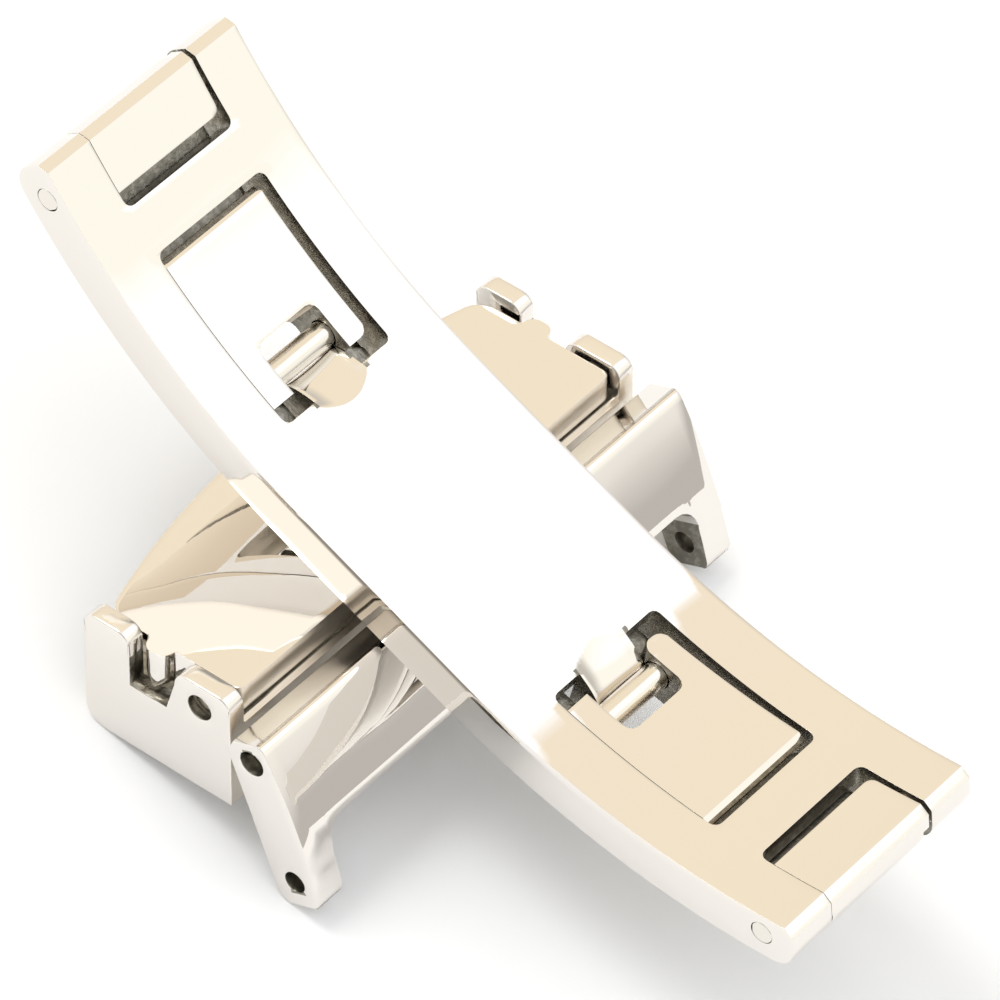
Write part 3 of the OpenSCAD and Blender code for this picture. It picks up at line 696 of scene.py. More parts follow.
# %% Folding arms: sizes and grid
ARM_W, ARM_TOP, ARM_SHIFT = 4.6, 0.85, -0.2
PAD_IN, PAD_OUT, PAD_CHAMFER, PAD_LEAN = 6.65, 12.5, 0.25, 0.03
BLOCK_IN, BLOCK_R, BLOCK_WIDER, BLOCK_LEAN = 15.1, 0.3, 0.22, 0.03
NOTCH_W, NOTCH_IN, NOTCH_OUT, NOTCH_R, PRONG_R = 2.75, 5.2, 8.55, 0.35, 0.4
BAR_AT, BAR_DEPTH, BAR_R, BAR_L, BAR_FREE = 7.5, 0.7, 0.48, 4.3, 0.03
KNUCKLE_R, BORE_R = 0.72, 0.43
BRACKET_PAD_SPREAD, BRACKET_PRONG_R = 0.22, 0.3


def arm_lines(at, deep):
    """Grid lines of an arm along the skin, across it and into the steel. at and deep are the place
    and the depth of its hinge hole."""
    swing = KNUCKLE_R * np.sin(np.linspace(radians(38), radians(90), 5))
    chamfer_from = PAD_OUT - PAD_CHAMFER
    line_s = merged(at - swing, hole_lines(at, BORE_R), at + swing,
                    np.linspace(at + KNUCKLE_R, NOTCH_IN, 12),
                    lines((NOTCH_IN, PAD_IN, 6), (PAD_IN, PAD_IN + PRONG_R, 4)),
                    hole_lines(BAR_AT, BAR_R), 8.1,
                    lines((NOTCH_OUT - NOTCH_R, NOTCH_OUT, 3), (NOTCH_OUT, chamfer_from, 15)),
                    lines((chamfer_from, PAD_OUT, 2), (PAD_OUT, BLOCK_IN, 10)),
                    lines((BLOCK_IN, BLOCK_IN + BLOCK_R, 4), (BLOCK_IN + BLOCK_R, 16.4, 4)), end_even)
    half_y = merged(lines((0, 0.92, 3)), NOTCH_W / 2, 1.76, BAR_L / 2, ARM_W / 2)
    line_d = merged(0, hole_lines(BAR_DEPTH, BAR_R), BASE_T, hole_lines(deep, BORE_R), deep + KNUCKLE_R)
    return line_s, merged(-half_y, half_y), line_d


print("grid lines of an arm:", [len(marks) for marks in arm_lines(BRACKET_HINGE[0], -BRACKET_HINGE[1])])

# %% [markdown]
# The photograph shows which corners of the arms were rounded: the two at the outer end of
# the notch, both corners of the far prong on the bracket's arm but only its outer one on
# the clamp's arm, and the inner corner of the end block. Each helper rounds one of them,
# and gives back the places of the grid's corners along and across the arm.

# %% Folding arms: round corners
def round_notch(S, Y):
    """Rounds the outer end of the notch by NOTCH_R and squeezes the lines that end between."""
    t = (NOTCH_OUT - S) / NOTCH_R
    along, across = round_corner(t, NOTCH_R)
    rounds = np.isclose(abs(Y), NOTCH_W / 2) & (t > -NEAR) & (t < 1 + NEAR)
    ends = (abs(t) < NEAR) & (abs(Y) < NOTCH_W / 2 - NEAR)
    new_y = np.where(rounds, np.sign(Y) * (NOTCH_W / 2 - across), Y)
    new_y = np.where(ends, Y * (1 - 2 * NOTCH_R / NOTCH_W), new_y)
    return np.where(rounds, NOTCH_OUT - along, S), new_y


def round_prong(S, Y, flat_s, flat_y, raised, in_r):
    """Rounds the inner end of the prong on the +Y side, by PRONG_R at its outer corner and by in_r
    at the notch, and spreads the lines that end between evenly."""
    at_end = raised & (flat_s > PAD_IN - NEAR) & (flat_s < PAD_IN + PRONG_R + NEAR)
    t, rounds = (flat_s - PAD_IN) / PRONG_R, at_end & np.isclose(flat_y, ARM_W / 2)
    along, across = round_corner(t, PRONG_R)
    S, Y = np.where(rounds, PAD_IN + along, S), np.where(rounds, ARM_W / 2 - across, Y)
    rounds = at_end & np.isclose(flat_y, NOTCH_W / 2)
    along, across = round_corner(t, in_r)
    Y = np.where(rounds, NOTCH_W / 2 + across, Y)
    stretched = PAD_IN + along + (flat_s - PAD_IN) * (1 - in_r / PRONG_R)
    S = np.where(rounds & (in_r > 0), stretched, S)
    end_from, end_to = NOTCH_W / 2 + in_r, ARM_W / 2 - PRONG_R
    share = (flat_y - NOTCH_W / 2) / (ARM_W / 2 - NOTCH_W / 2)
    inner = (abs(flat_s - PAD_IN) < NEAR) & (flat_y > NOTCH_W / 2 + NEAR) & (flat_y < ARM_W / 2 - NEAR)
    return S, np.where(raised & inner, end_from + share * (end_to - end_from), Y)


def widen_fields(S, Y, flat_s, flat_y, raised, spread):
    """Widens the raised fields: by PAD_LEAN on the -Y side, by spread at the pad's outer end on the
    +Y side, and there by BLOCK_WIDER at the end block, whose inner corner has a round of BLOCK_R."""
    left, right = [raised & np.isclose(flat_y, side * ARM_W / 2) for side in (-1, 1)]
    share = np.clip((flat_s - PAD_IN) / (PAD_OUT - PAD_IN), 0, 1) * (flat_s < PAD_OUT + NEAR)
    Y = np.where(left & (flat_s > PAD_IN - NEAR), Y - PAD_LEAN, Y)
    Y = np.where(right & (flat_s > PAD_IN - NEAR), Y + spread * share, Y)
    along, across = round_corner((flat_s - BLOCK_IN) / BLOCK_R, BLOCK_R)
    on_block = right & (flat_s > BLOCK_IN - NEAR)
    Y = np.where(on_block, ARM_W / 2 + BLOCK_WIDER + BLOCK_LEAN * (flat_s - BLOCK_IN) - across, Y)
    return np.where(on_block & (flat_s < BLOCK_IN + BLOCK_R + NEAR), BLOCK_IN + along, S), Y


prong_w = (ARM_W - NOTCH_W) / 2
print("prongs", round(prong_w, 3), "mm wide, and at their ends flat for",
      [round(prong_w - PRONG_R - r, 3) for r in (BRACKET_PRONG_R, 0)], "mm")

# %% [markdown]
# The upper faces of an arm are polished with the plate, so that both mirror as one. The faces that one sees
# only through the gaps round it are milled, in the dark colour that is painted shade, or brushed, in the
# lighter colour that is painted light.

# %% Folding arms: which faces are milled or brushed
def arm_finish_and_painted_shading(centres, spans):
    """Milled walls in the notch and round the raised fields, and a milled step between them, all in the dark
    colour that is painted shade. The notch's outer wall and the sides that lie in the channel are brushed,
    in the lighter colour that is painted light."""
    s, y, d = centres[:, 0], abs(centres[:, 1]), centres[:, 2]
    upright = spans[:, 2] > WALL_RISE
    inner_wall = upright & (y < ARM_W / 2 - 2 * NEAR) & (s > NOTCH_IN - NEAR) & (s < PAD_OUT - 0.3)
    shelf = (abs(d - ARM_TOP) < 2 * NEAR) & ~upright & (s > NOTCH_IN) & (s < END_FROM)
    field_end = upright & (d < ARM_TOP) & (abs(s - BLOCK_IN) < 2 * NEAR)
    low_side = (d > ARM_TOP - 2 * NEAR) & (y > ARM_W / 2 - 2 * NEAR) & (s > NOTCH_IN) & (s < END_FROM)
    outer_wall = upright & (y < NOTCH_W / 2 - 0.05) & (abs(s - NOTCH_OUT) < NOTCH_R)
    return np.where(low_side | outer_wall, 2, inner_wall | shelf | field_end)


print("the milled step lies", ARM_TOP, "mm below the skin")

# %% [markdown]
# With these helpers an arm is made in a few steps: the cells that are steel, the round
# corners seen from above, the knuckle's round underside, the trimmed outer end with the
# pad's chamfer, and at last the two holes. Both arms come from the same function: they
# differ only in their hinge's place, one round corner and how the pad widens.

# %% Folding arms: from grid to steel
def folding_arm(name, node, body, side, hinge, spread, prong_in_r):
    """One arm, drawn towards +s and mirrored for side -1. hinge is its hinge pin's place in the
    plate's frame. The pad grows wider by spread up to its outer end, and prong_in_r rounds the
    inner corner of the prong on the +Y side. The knuckle's lowest lines follow its circle."""
    at, deep = side * hinge[0], -hinge[1]
    line_s, line_y, line_d = arm_lines(at, deep)
    (S, Y, D), (cs, cy, cd) = grid(line_s, line_y, line_d)
    step = line_d[np.argmin(abs(line_d - ARM_TOP))]
    fields = (cs > PAD_IN) & (cs < PAD_OUT) | (cs > BLOCK_IN)
    notch = (abs(cy) < NOTCH_W / 2) & (cs > NOTCH_IN) & (cs < NOTCH_OUT)
    steel = np.where(cd < step, fields, (cd < BASE_T) | (abs(cs - at) < KNUCKLE_R)) & ~notch

    flat_s, flat_y, flat_d, raised = S, Y, D, D < step + NEAR
    S, Y = round_notch(S, Y)
    S, Y = round_prong(S, Y, flat_s, flat_y, raised, prong_in_r)
    S = np.where(np.isclose(flat_s, PAD_IN + PRONG_R), BAR_AT - BAR_R - 2 * BAR_FREE, S)
    S, Y = widen_fields(S, Y, flat_s, flat_y, raised, spread)

    bottom = deep + np.sqrt(np.maximum(KNUCKLE_R**2 - (S - at) ** 2, 0))
    first = deep - BORE_R / sqrt(2)
    hang_down = first + (D - first) * (bottom - first) / (deep + KNUCKLE_R - first)
    knuckle = (D > first) & (abs(S - at) < KNUCKLE_R + NEAR)
    S, D = end_trim(S, np.where(np.isclose(D, step), ARM_TOP, D), ARM_TOP)
    D = np.where(knuckle, hang_down, D)
    sloped = np.isclose(flat_d, 0) & (S < PAD_OUT + NEAR) & (S > PAD_OUT - PAD_CHAMFER)
    D = np.where(sloped, S - (PAD_OUT - PAD_CHAMFER), D)

    marks = (line_s, hole_lines(at, BORE_R)), (line_d, hole_lines(deep, BORE_R))
    i, k = bore(S, D, (at, deep), BORE_R, marks)
    steel[i, :, k] = False
    marks = (line_s, hole_lines(BAR_AT, BAR_R)), (line_d, hole_lines(BAR_DEPTH, BAR_R))
    i, k = bore(S, D, (BAR_AT, BAR_DEPTH), BAR_R + BAR_FREE, marks)
    steel[i, :, k] &= ~((abs(cy) > NOTCH_W / 2) & (abs(cy) < BAR_L / 2))[i, :, k]

    flat, quads = skin_of(np.stack([S, Y, D], axis=-1), steel)
    return finish_piece(name, flat, quads, lambda s, y, d: bend(side * s, y + ARM_SHIFT, d), body, [node],
                        [POLISHED, MILLED_PAINTED_SHADE, BRUSHED_PAINTED_LIGHT], edge=0.08, milled=arm_finish_and_painted_shading,
                        leave=lambda m: (m[:, 2] > BASE_T + NEAR) & (abs(m[:, 1]) < ARM_W / 2 - NEAR))


folding_arm("polished_bracket_arm", "bracket_arm", "bracket_side_arm", 1, BRACKET_HINGE,
            BRACKET_PAD_SPREAD, BRACKET_PRONG_R)
folding_arm("polished_clamp_arm", "clamp_arm", "clamp_side_arm", -1, CLAMP_HINGE, 0, 0)

# %% [markdown]
# The hinge pins, the latch bars and the peg are turned rods: a profile of places along the
# axis and radii, carried round it. Their ends have a small chamfer and a flat dome, which
# is what shows of a pin that is sunk in its hole. The profile starts and ends on the axis,
# so the poles are closed.

# %% Turned rods
DOME_SHARE = 0.6


def turned_rod(name, node, body, centre, axis, length, r, chamfer=0.08, dome=0.03, finish=TURNED, steps=48):
    """A rod of radius r round an axis through its centre, in the finished frame. Each ring is
    centre + axis * place + radius * (cos, sin) in the plane across the axis."""
    half = length / 2
    place = np.array([-half - dome, -half - dome * DOME_SHARE, -half, -half + chamfer,
                      half - chamfer, half, half + dome * DOME_SHARE, half + dome])
    place = np.clip(place, -half, half) if dome == 0 else place - np.sign(place) * dome
    radius = np.array([0, DOME_SHARE * r, r - chamfer, r, r, r - chamfer, DOME_SHARE * r, 0])
    axis = np.array(axis, float)
    across = np.cross(axis, [0.0, 0, 1]) if abs(axis[2]) < 0.9 else np.cross(axis, [0.0, 1, 0])
    across /= np.linalg.norm(across)
    angle = np.linspace(0, 2 * pi, steps, endpoint=False)
    turn = np.cos(angle)[:, None] * across + np.sin(angle)[:, None] * np.cross(axis, across)
    rings = centre + place[:, None, None] * axis + radius[:, None, None] * turn[None]
    index = np.arange(len(place) * steps).reshape(len(place), steps)
    after = np.roll(index, -1, axis=1)
    quads = np.stack([index[:-1], after[:-1], after[1:], index[1:]], axis=-1).reshape(-1, 4)
    return finish_piece(name, rings.reshape(-1, 3), quads, lambda x, y, z: MM * np.stack([x, y, z], axis=-1),
                        body, [node], [finish], edge=0)


def at_mm(place):
    """A place in space, in millimetres."""
    return np.asarray(place, float).reshape(3) / MM


print("an arm's pin, in mm:", at_mm(bend(PIN_AT, 0, PIN_DEPTH)).round(2))

# %% [markdown]
# All rods but the peg lie across the clasp, along the Y axis. The arms' pins end flush
# with the base plate's sides, the hinge pins of the clamp and the bracket are sunk in
# their holes, and the peg stands up from the clamp's floor.

# %% Pins, latch bars and peg
CLAMP_W, CLAMP_SINK, CLAMP_FLOOR, BRACKET_W, BRACKET_SINK = 20.1, 0.3, -3.63, 20.8, 0.5
PEG_AT, PEG_L, PEG_R = 2.6, 2.7, 0.6
across_y = (0, 1, 0)
for side, word, arm_body in ((1, "bracket", "bracket_side_arm"), (-1, "clamp", "clamp_side_arm")):
    turned_rod(f"{word}_arm_pin_rod", f"{word}_arm_pin", "base", at_mm(bend(side * PIN_AT, 0, PIN_DEPTH)),
               across_y, BASE_W, PIN_R, chamfer=0.015, dome=0)
    turned_rod(f"{word}_latch_bar_rod", f"{word}_arm_latch_bar", arm_body,
               at_mm(bend(side * BAR_AT, ARM_SHIFT, BAR_DEPTH)), across_y, BAR_L, BAR_R)
# The hinge pins are brushed, in the lighter, warmer colour that is painted light.
turned_rod("clamp_hinge_rod", "clamp_hinge_pin", "strap_clamp", at_mm(in_clamp(0, 0, 0)), across_y,
           CLAMP_W - 2 * CLAMP_SINK, PIN_R, chamfer=0.1, dome=0.05, finish=BRUSHED_PAINTED_LIGHT)
turned_rod("bracket_hinge_rod", "bracket_hinge_pin", "bracket", at_mm(in_bracket(0, 0, 0)), across_y,
           BRACKET_W - 2 * BRACKET_SINK, PIN_R, chamfer=0.1, dome=0.05, finish=BRUSHED_PAINTED_LIGHT)
peg_low, peg_high = [at_mm(in_clamp(PEG_AT, 0, CLAMP_FLOOR + rise)) for rise in (0, PEG_L)]
turned_rod("strap_peg_rod", "strap_peg", "strap_clamp", (peg_low + peg_high) / 2,
           (peg_high - peg_low) / PEG_L, PEG_L, PEG_R, chamfer=0.15, dome=0.05)

# %% [markdown]
# The strap clamp is a shallow tray folded up at both sides. Each side wall ends in two
# ears with a finger notch between them. The hinge pin goes through the inner ears and is
# sunk in them, so each hole has a short wider mouth. The outer cover rounds off towards
# the strap, and a thin rib ties the walls together beside the hinge.

# %% Strap clamp: sizes and grid
CLAMP_IN_W, CLAMP_EDGE, CLAMP_END, COVER_T, FOOT_R = 18.7, -1.26, 4.79, 0.8, 0.8
EAR_R, HINGE_EAR_H, HINGE_EAR_END, OUTER_EAR_H = 0.48, 0.98, 1.02, 1.25
NOTCH_FLOOR, NOTCH_NEAR, NOTCH_FAR = -0.88, 1.4, 2.9
RIB_END, RIB_LOW, RIB_TOP, MOUTH_R = -1.01, -1.16, -0.36, 0.47

quarter = np.linspace(0, pi / 2, 6)
hole = hole_lines(0, MOUTH_R)
low_quarter = np.linspace(0.2, 1, 6) * pi / 2


def ear_lines(steps, hinge_ear_end):
    """Lines along a side wall, with the given steps inside each end of its two ears."""
    return np.concatenate([CLAMP_EDGE + steps, hole, hinge_ear_end - steps[::-1], [2.0, 2.45],
                           NOTCH_FAR + steps, [3.7, 3.99], CLAMP_END - steps[::-1]])


line_u = ear_lines(EAR_R * np.linspace(0, 1, 6), HINGE_EAR_END)
line_u[line_u == HINGE_EAR_END] = NOTCH_NEAR
top_u = ear_lines(EAR_R * (1 - np.cos(quarter)), HINGE_EAR_END)
low_u = np.concatenate([line_u[:-6], CLAMP_END - FOOT_R * (1 - np.sin(low_quarter))])
from_hinge_ear = np.minimum(top_u - CLAMP_EDGE, HINGE_EAR_END - top_u)
from_outer_ear = np.minimum(top_u - NOTCH_FAR, CLAMP_END - top_u)
ear_top = np.where(top_u < 2, HINGE_EAR_H - corner_drop(from_hinge_ear, EAR_R),
                   OUTER_EAR_H - corner_drop(from_outer_ear, EAR_R))
line_w = np.concatenate([[CLAMP_FLOOR, CLAMP_FLOOR + COVER_T, RIB_LOW, NOTCH_FLOOR], hole, [HINGE_EAR_H]])
sunk = CLAMP_W / 2 - CLAMP_SINK
half_y = np.array([2, 5, 7.5, CLAMP_IN_W / 2, sunk - 0.02, sunk, CLAMP_W / 2])
line_y = merged(-half_y, half_y)
(U, Y, W), (cu, cy, cw) = grid(line_u, line_y, line_w)
print("strap clamp: ears reach", ear_top.max().round(2), "mm above the pin")

# %% [markdown]
# The top lines of the grid follow the rounded ears, its bottom lines the cover's round
# foot, and the side of the hinge's ear slopes down into the finger notch.

# %% Strap clamp: ears and holes
last, lowest = [np.arange(len(line_w)) == n for n in (len(line_w) - 1, 0)]
U = np.where(last, top_u[:, None, None], U)
U = np.where(lowest, low_u[:, None, None], U)
W = np.where(last, ear_top[:, None, None], W)
W = np.where(lowest, CLAMP_FLOOR + corner_drop(CLAMP_END - low_u, FOOT_R)[:, None, None], W)
flank = np.isclose(U, NOTCH_NEAR) & (W > NOTCH_FLOOR) & ~last
flank_rise = HINGE_EAR_H - EAR_R - NOTCH_FLOOR
U = np.where(flank, NOTCH_NEAR - (NOTCH_NEAR - HINGE_EAR_END) * (W - NOTCH_FLOOR) / flank_rise, U)
W = np.where((U < RIB_END + NEAR) & np.isclose(W, hole[0]), RIB_TOP, W)

wall, in_notch = abs(cy) > CLAMP_IN_W / 2, (cu > NOTCH_NEAR) & (cu < NOTCH_FAR) & (cw > NOTCH_FLOOR)
rib = (cu < CLAMP_EDGE + 0.27) & (cw > RIB_LOW) & (cw < hole[0])
steel = np.where(wall, ~in_notch, (cw < CLAMP_FLOOR + COVER_T) | rib)
radius = np.where(abs(line_y) > sunk - NEAR, MOUTH_R, PIN_R)
i, k = bore(U, W, (0, 0), radius, ((line_u, hole), (line_w, hole)))
steel[i, :, k] &= ~wall[i, :, k]
print("strap clamp:", int(steel.sum()), "cells of steel out of", steel.size)

# %% [markdown]
# The clamp's outside is satin, so that it mirrors only softly. Inside, where the strap lies, it is milled,
# in the dark colour that is painted shade.

# %% Strap clamp: finish
def clamp_finish_and_painted_shading(c, spans):
    """The inside of the tray, the finger notches and the mouths of the holes are milled, in the dark colour
    that is painted shade, and the ends of the walls that face the middle are brushed, in the lighter colour
    that is painted light."""
    in_hole, on_end = np.hypot(c[:, 0], c[:, 2]) < MOUTH_R + NEAR, c[:, 0] < CLAMP_EDGE + NEAR
    along_notch = (c[:, 0] > HINGE_EAR_END - 2 * NEAR) & (c[:, 0] < NOTCH_FAR + NEAR)
    up_notch = (c[:, 2] > NOTCH_FLOOR - NEAR) & (c[:, 2] < HINGE_EAR_H - EAR_R)
    in_finger_notch = along_notch & up_notch & (spans[:, 1] > 0.1)
    on_rib = (c[:, 0] < RIB_END + NEAR) & (abs(c[:, 1]) < CLAMP_IN_W / 2 - NEAR)
    in_tray = (abs(c[:, 1]) < CLAMP_IN_W / 2 - NEAR) & (c[:, 2] > CLAMP_FLOOR + COVER_T - 0.05)
    return np.where(on_end | on_rib, 2, in_tray | in_hole | in_finger_notch)


flat, quads = skin_of(np.stack([U, Y, W], axis=-1), steel)
finish_piece("satin_strap_clamp", flat, quads, in_clamp, "strap_clamp", ["strap_clamp_shell"],
             [SATIN, MILLED_PAINTED_SHADE, BRUSHED_PAINTED_LIGHT], edge=0.06, milled=clamp_finish_and_painted_shading,
             leave=lambda m: (np.hypot(m[:, 0], m[:, 2]) < 0.5) & (abs(m[:, 1]) < CLAMP_W / 2 - NEAR)
             | (m[:, 0] < RIB_END + 2 * NEAR) & (abs(m[:, 1]) < CLAMP_IN_W / 2 - NEAR))

# %% [markdown]
# The clamp plate closes the tray over the strap. It turns on the clamp's hinge pin, is cut
# away in the middle for the arm's knuckle, and bulges out on the strap side. Two small
# nubs reach into the finger notches. Under the plate runs the tube that holds the pin.

# %% Clamp plate: sizes and grid
PLATE_T, PLATE_H, PLATE_IN, PLATE_OUT, PLATE_W = 1.0, 0.77, 0.97, 5.89, 18.4
PLATE_EDGE_R, PLATE_CORNER, PLATE_IN_R, BULGE_FROM, ARM_CUT, CUT_TO = 30.0, 0.6, 0.25, 2.7, 5.2, 1.02
NUB_AT, NUB_W, NUB_LOW, NUB_FROM, NUB_REACH, NUB_R, NUB_FILLET = 2.21, 1.0, -0.75, 8.6, 9.7, 0.4, 0.15
PLATE_LOW, TUBE_TURN = PLATE_H - PLATE_T, radians(70)

tube = KNUCKLE_R * np.sin(np.linspace(radians(30), TUBE_TURN, 5))
line_u = merged(-PLATE_IN, -tube, hole_lines(0, BORE_R), tube, CUT_TO, 1.35,
                NUB_AT - NUB_W / 2 * np.cos(np.linspace(0, pi, 9)), np.linspace(3.0, PLATE_OUT, 12))
half_y = merged(lines((0, ARM_CUT / 2, 5), (ARM_CUT / 2, NUB_FROM, 18)),
                PLATE_W / 2 - PLATE_CORNER * (1 - np.cos(quarter)),
                PLATE_W / 2 + NUB_FILLET * np.linspace(0, 0.8, 4),
                NUB_REACH - NUB_R * (1 - np.cos(quarter[:-1])))
line_y, line_w = merged(-half_y, half_y), merged(-KNUCKLE_R, hole_lines(0, BORE_R), PLATE_H)
(U, Y, W), (cu, cy, cw) = grid(line_u, line_y, line_w)
under = line_w[np.argmin(abs(line_w - PLATE_LOW))]

plate_cells = (abs(cy) < PLATE_W / 2) & (cw > under)
tube_cells = (abs(cu) < KNUCKLE_R * sin(TUBE_TURN) + 0.001) & (cw < under) & (abs(cy) < PLATE_W / 2)
nub_cells = (abs(cu - NUB_AT) < NUB_W / 2) & (abs(cy) > NUB_FROM + 0.1)
steel = (plate_cells | tube_cells | nub_cells) & ~((abs(cy) < ARM_CUT / 2) & (cu < CUT_TO))
print("clamp plate:", int(steel.sum()), "cells of steel out of", steel.size)

# %% [markdown]
# The lines below the plate hang down to the tube's circle or to the round underside of a
# nub. The strap side follows an arc of a large circle, and the corners are rounded.

# %% Clamp plate: tube, nubs and bulge
tube_low = -np.sqrt(np.maximum(KNUCKLE_R**2 - U**2, 0))
nub_low = NUB_LOW + NUB_W / 2 - np.sqrt(np.maximum((NUB_W / 2) ** 2 - (U - NUB_AT) ** 2, 0))
in_nub, in_tube = (abs(U - NUB_AT) < NUB_W / 2 + NEAR) & (abs(Y) > NUB_FROM), abs(U) < KNUCKLE_R
low = np.where(in_tube, np.minimum(tube_low, PLATE_LOW), PLATE_LOW - 0.01)
low = np.where(in_nub, nub_low, low)
W = np.where(W < under + 0.001, PLATE_LOW + (W - under) * (low - PLATE_LOW) / (-KNUCKLE_R - under), W)

inside = np.maximum(PLATE_W / 2 - abs(Y), 0)
outer = PLATE_OUT - PLATE_EDGE_R + np.sqrt(PLATE_EDGE_R**2 - np.minimum(abs(Y), PLATE_W / 2) ** 2)
outer -= corner_drop(inside, PLATE_CORNER)
stretch = np.clip((U - BULGE_FROM) / (PLATE_OUT - BULGE_FROM), 0, 1)
U = np.where(U > BULGE_FROM, U + stretch * (outer - PLATE_OUT), U)
U = np.where(U < -PLATE_IN + NEAR, -(PLATE_IN - corner_drop(inside, PLATE_IN_R)), U)
past_side = np.maximum(abs(Y) - PLATE_W / 2, 0)
nub_half = NUB_W / 2 - corner_drop(NUB_REACH - abs(Y), NUB_R) + corner_drop(past_side, NUB_FILLET)
beside = in_nub & (abs(Y) > PLATE_W / 2 - NEAR)
U = np.where(beside, NUB_AT + (U - NUB_AT) * nub_half / (NUB_W / 2), U)
print("the strap side bulges", np.ptp(outer[abs(Y) < PLATE_W / 2 + NEAR]).round(2), "mm past its corners")

# %% [markdown]
# The tube is bored last, so that its hole stays round. All of the plate is polished but the side that faces
# the middle of the clasp, which is brushed, in the lighter, warmer colour that is painted light.

# %% Clamp plate: hole and finish
i, k = bore(U, W, (0, 0), BORE_R, ((line_u, hole_lines(0, BORE_R)), (line_w, hole_lines(0, BORE_R))))
steel[i, :, k] = False
flat, quads = skin_of(np.stack([U, Y, W], axis=-1), steel)
finish_piece("polished_clamp_plate", flat, quads, in_clamp, "clamp_flap", ["clamp_plate"],
             [POLISHED, BRUSHED_PAINTED_LIGHT], edge=0.06, milled=lambda c, spans: (c[:, 0] < -0.7) & (spans[:, 2] > 0.1),
             leave=lambda m: (np.hypot(m[:, 0], m[:, 2]) < 0.5) | (m[:, 2] < PLATE_LOW - NEAR))

# %% [markdown]
# The spring bar bracket is a bar with a flat back and a crowned front, split in the middle
# for the arm's knuckle, with an ear at each end. The spring bar of the strap snaps into
# the small holes in the ears. Its crown is an arc of a large circle, and the corner
# between each ear and the edge is filleted. The bracket mirrors as the base plate does.

# %% Bracket: sizes and grid
BRACKET_TOP, BRACKET_END, BACK, FRONT_LINE = -0.77, 5.53, 0.92, 0.98
CROWN_R, CROWN_AT, CROWN_Z, FRONT_R = 20.0, 2.38, -19.02, 0.25
BACK_CHAMFER, FOOT_CHAMFER, EAR_IN, EAR_FROM, EAR_FILLET = 0.4, 0.26, 9.2, 2.93, 0.8
SPRING_AT, SPRING_R, KNUCKLE_CUT = 4.6, 0.4, 0.92
spring = hole_lines(SPRING_AT, SPRING_R)


def bracket_lines(steps):
    """Lines along the bracket, with the given steps inside its two ends."""
    return np.concatenate([BRACKET_TOP + steps, [-0.38], hole, [0.6, KNUCKLE_CUT], np.linspace(1.25, 2.6, 5),
                           [EAR_FROM, 3.9], spring, [5.05], BRACKET_END - steps[::-1]])


line_u = bracket_lines(FRONT_R * np.linspace(0, 1, 5))
front_u = bracket_lines(FRONT_R * (1 - np.cos(np.linspace(0, pi / 2, 5))))
line_w = merged(-BACK, hole, 0.6, FRONT_LINE)
sunk = BRACKET_W / 2 - BRACKET_SINK
half_y = merged(lines((0, ARM_CUT / 2, 5), (ARM_CUT / 2, EAR_IN - EAR_FILLET, 16)),
                EAR_IN - EAR_FILLET * (1 - np.cos(quarter)), sunk - 0.02, sunk, BRACKET_W / 2)
line_y = merged(-half_y, half_y)
(U, Y, W), (cu, cy, cw) = grid(line_u, line_y, line_w)
steel = ~((abs(cy) < EAR_IN) & (cu > EAR_FROM)) & ~((abs(cy) < ARM_CUT / 2) & (cu < KNUCKLE_CUT))
print("bracket:", int(steel.sum()), "cells of steel out of", steel.size)

# %% [markdown]
# The front lines rise to the crown and round off at both ends, the back lines get a
# chamfer at each end, and the edge between the ears sinks into the fillets.

# %% Bracket: crown and fillets
in_front, in_back = np.isclose(W, FRONT_LINE), np.isclose(W, -BACK)
crown = CROWN_Z + np.sqrt(CROWN_R**2 - (front_u - CROWN_AT) ** 2)
crown = crown - corner_drop(np.minimum(front_u - BRACKET_TOP, BRACKET_END - front_u), FRONT_R)
back_top = BACK_CHAMFER - np.clip(line_u - BRACKET_TOP, 0, BACK_CHAMFER)
back_foot = FOOT_CHAMFER - np.clip(BRACKET_END - line_u, 0, BACK_CHAMFER) * FOOT_CHAMFER / BACK_CHAMFER
back_w = -BACK + np.maximum(back_top, back_foot)
U = np.where(in_front, front_u[:, None, None], U)
W = np.where(in_front, crown[:, None, None], W)
W = np.where(in_back, back_w[:, None, None], W)
into_fillet = np.clip(abs(Y) - (EAR_IN - EAR_FILLET), 0, EAR_FILLET)
edge_u = EAR_FROM + EAR_FILLET - np.sqrt(np.maximum(EAR_FILLET**2 - into_fillet**2, 0))
U = np.where(np.isclose(U, EAR_FROM), edge_u, U)
print("the crown rises to", crown.max().round(2), "mm over the pin's middle")

# %% [markdown]
# The hinge pin's holes have a wider mouth, as in the clamp, and the spring bar's holes are plain. Their
# walls and the ears' inner sides are milled, in the dark colour that is painted shade.

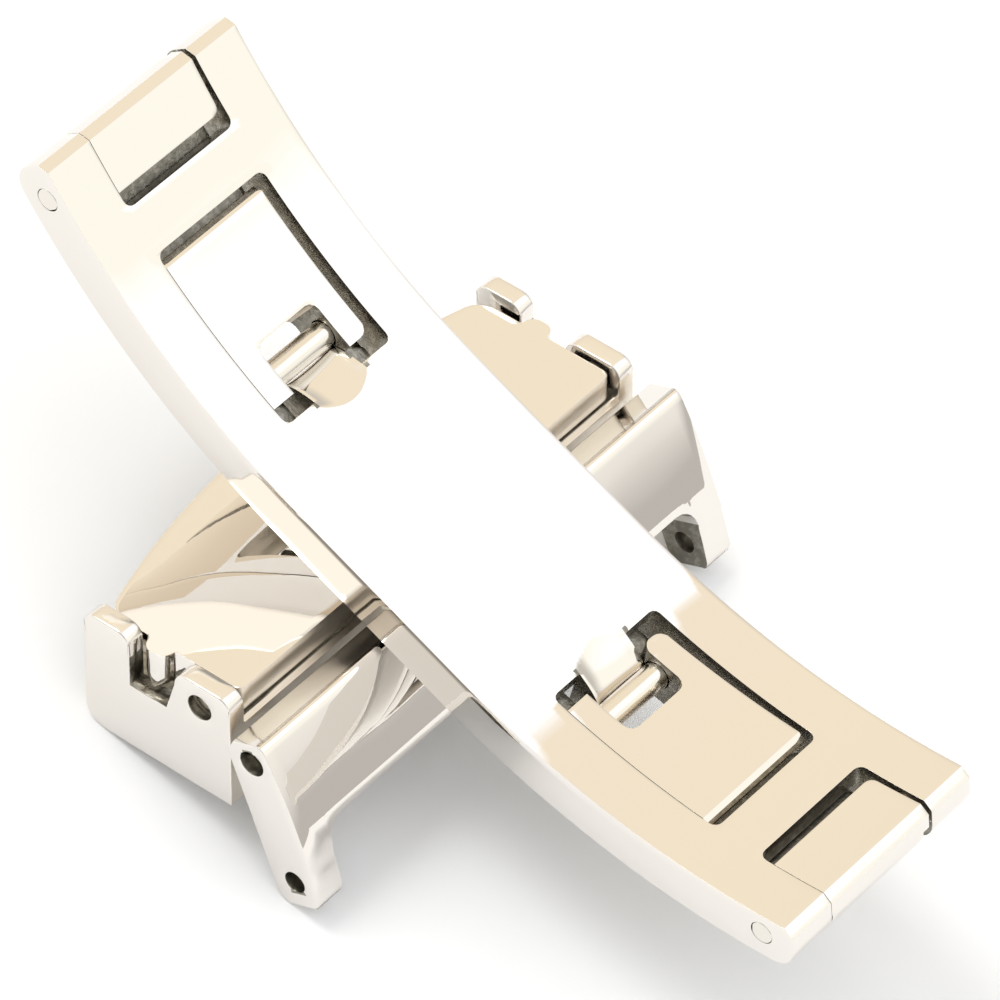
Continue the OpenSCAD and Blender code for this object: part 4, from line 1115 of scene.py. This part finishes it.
# %% Bracket: holes and finish
radius = np.where(abs(line_y) > sunk - NEAR, MOUTH_R, PIN_R)
for at, r, marks in ((0, radius, hole), (SPRING_AT, SPRING_R, spring)):
    i, k = bore(U, W, (at, 0), r, ((line_u, marks), (line_w, hole)))
    steel[i, :, k] = False


def bracket_finish_and_painted_shade(c, spans):
    """The walls of the round holes and the ears' sides towards the strap are milled, in the dark colour that
    is painted shade.
    """
    near_pin, near_bar = [np.hypot(c[:, 0] - at, c[:, 2]) < MOUTH_R + NEAR for at in (0, SPRING_AT)]
    ear_side = (abs(abs(c[:, 1]) - EAR_IN) < NEAR) & (c[:, 0] > EAR_FROM + EAR_FILLET - 0.05)
    return near_pin | near_bar | ear_side


flat, quads = skin_of(np.stack([U, Y, W], axis=-1), steel)
finish_piece("satin_strap_bracket", flat, quads, in_bracket, "bracket", ["strap_bracket"],
             [POLISHED, MILLED_PAINTED_SHADE], edge=0.05, milled=bracket_finish_and_painted_shade,
             leave=lambda m: (np.hypot(m[:, 0], m[:, 2]) < 0.52) & (abs(m[:, 1]) < BRACKET_W / 2 - NEAR))

# %% [markdown]
# The picture's background is white. A wide white floor under a pale, even sky gives the
# soft shadows close to the clasp and lets everything farther out go white.

# %% Floor
FLOOR_HALF = 0.8
WHITE_FLOOR = bpy.data.materials.new("white floor")
WHITE_FLOOR.use_nodes = True
floor_shader = WHITE_FLOOR.node_tree.nodes["Principled BSDF"]
floor_shader.inputs["Base Color"].default_value = (0.90, 0.915, 0.94, 1)
floor_shader.inputs["Roughness"].default_value = 0.9
floor_shader.inputs["Specular IOR Level"].default_value = 0

corners = [(FLOOR_HALF * x, FLOOR_HALF * y, 0) for x, y in ((-1, -1), (1, -1), (1, 1), (-1, 1))]
floor_mesh = bpy.data.meshes.new("floor")
floor_mesh.from_pydata(corners, [], [(0, 1, 2, 3)])
floor_mesh.materials.append(WHITE_FLOOR)
floor = bpy.data.objects.new("floor", floor_mesh)
bpy.context.scene.collection.objects.link(floor)
floor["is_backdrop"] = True
print("floor:", 2 * FLOOR_HALF, "m wide")

# %% Finish
low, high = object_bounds()
print("visual box in mm:", [round(side / MM, 2) for side in high - low])
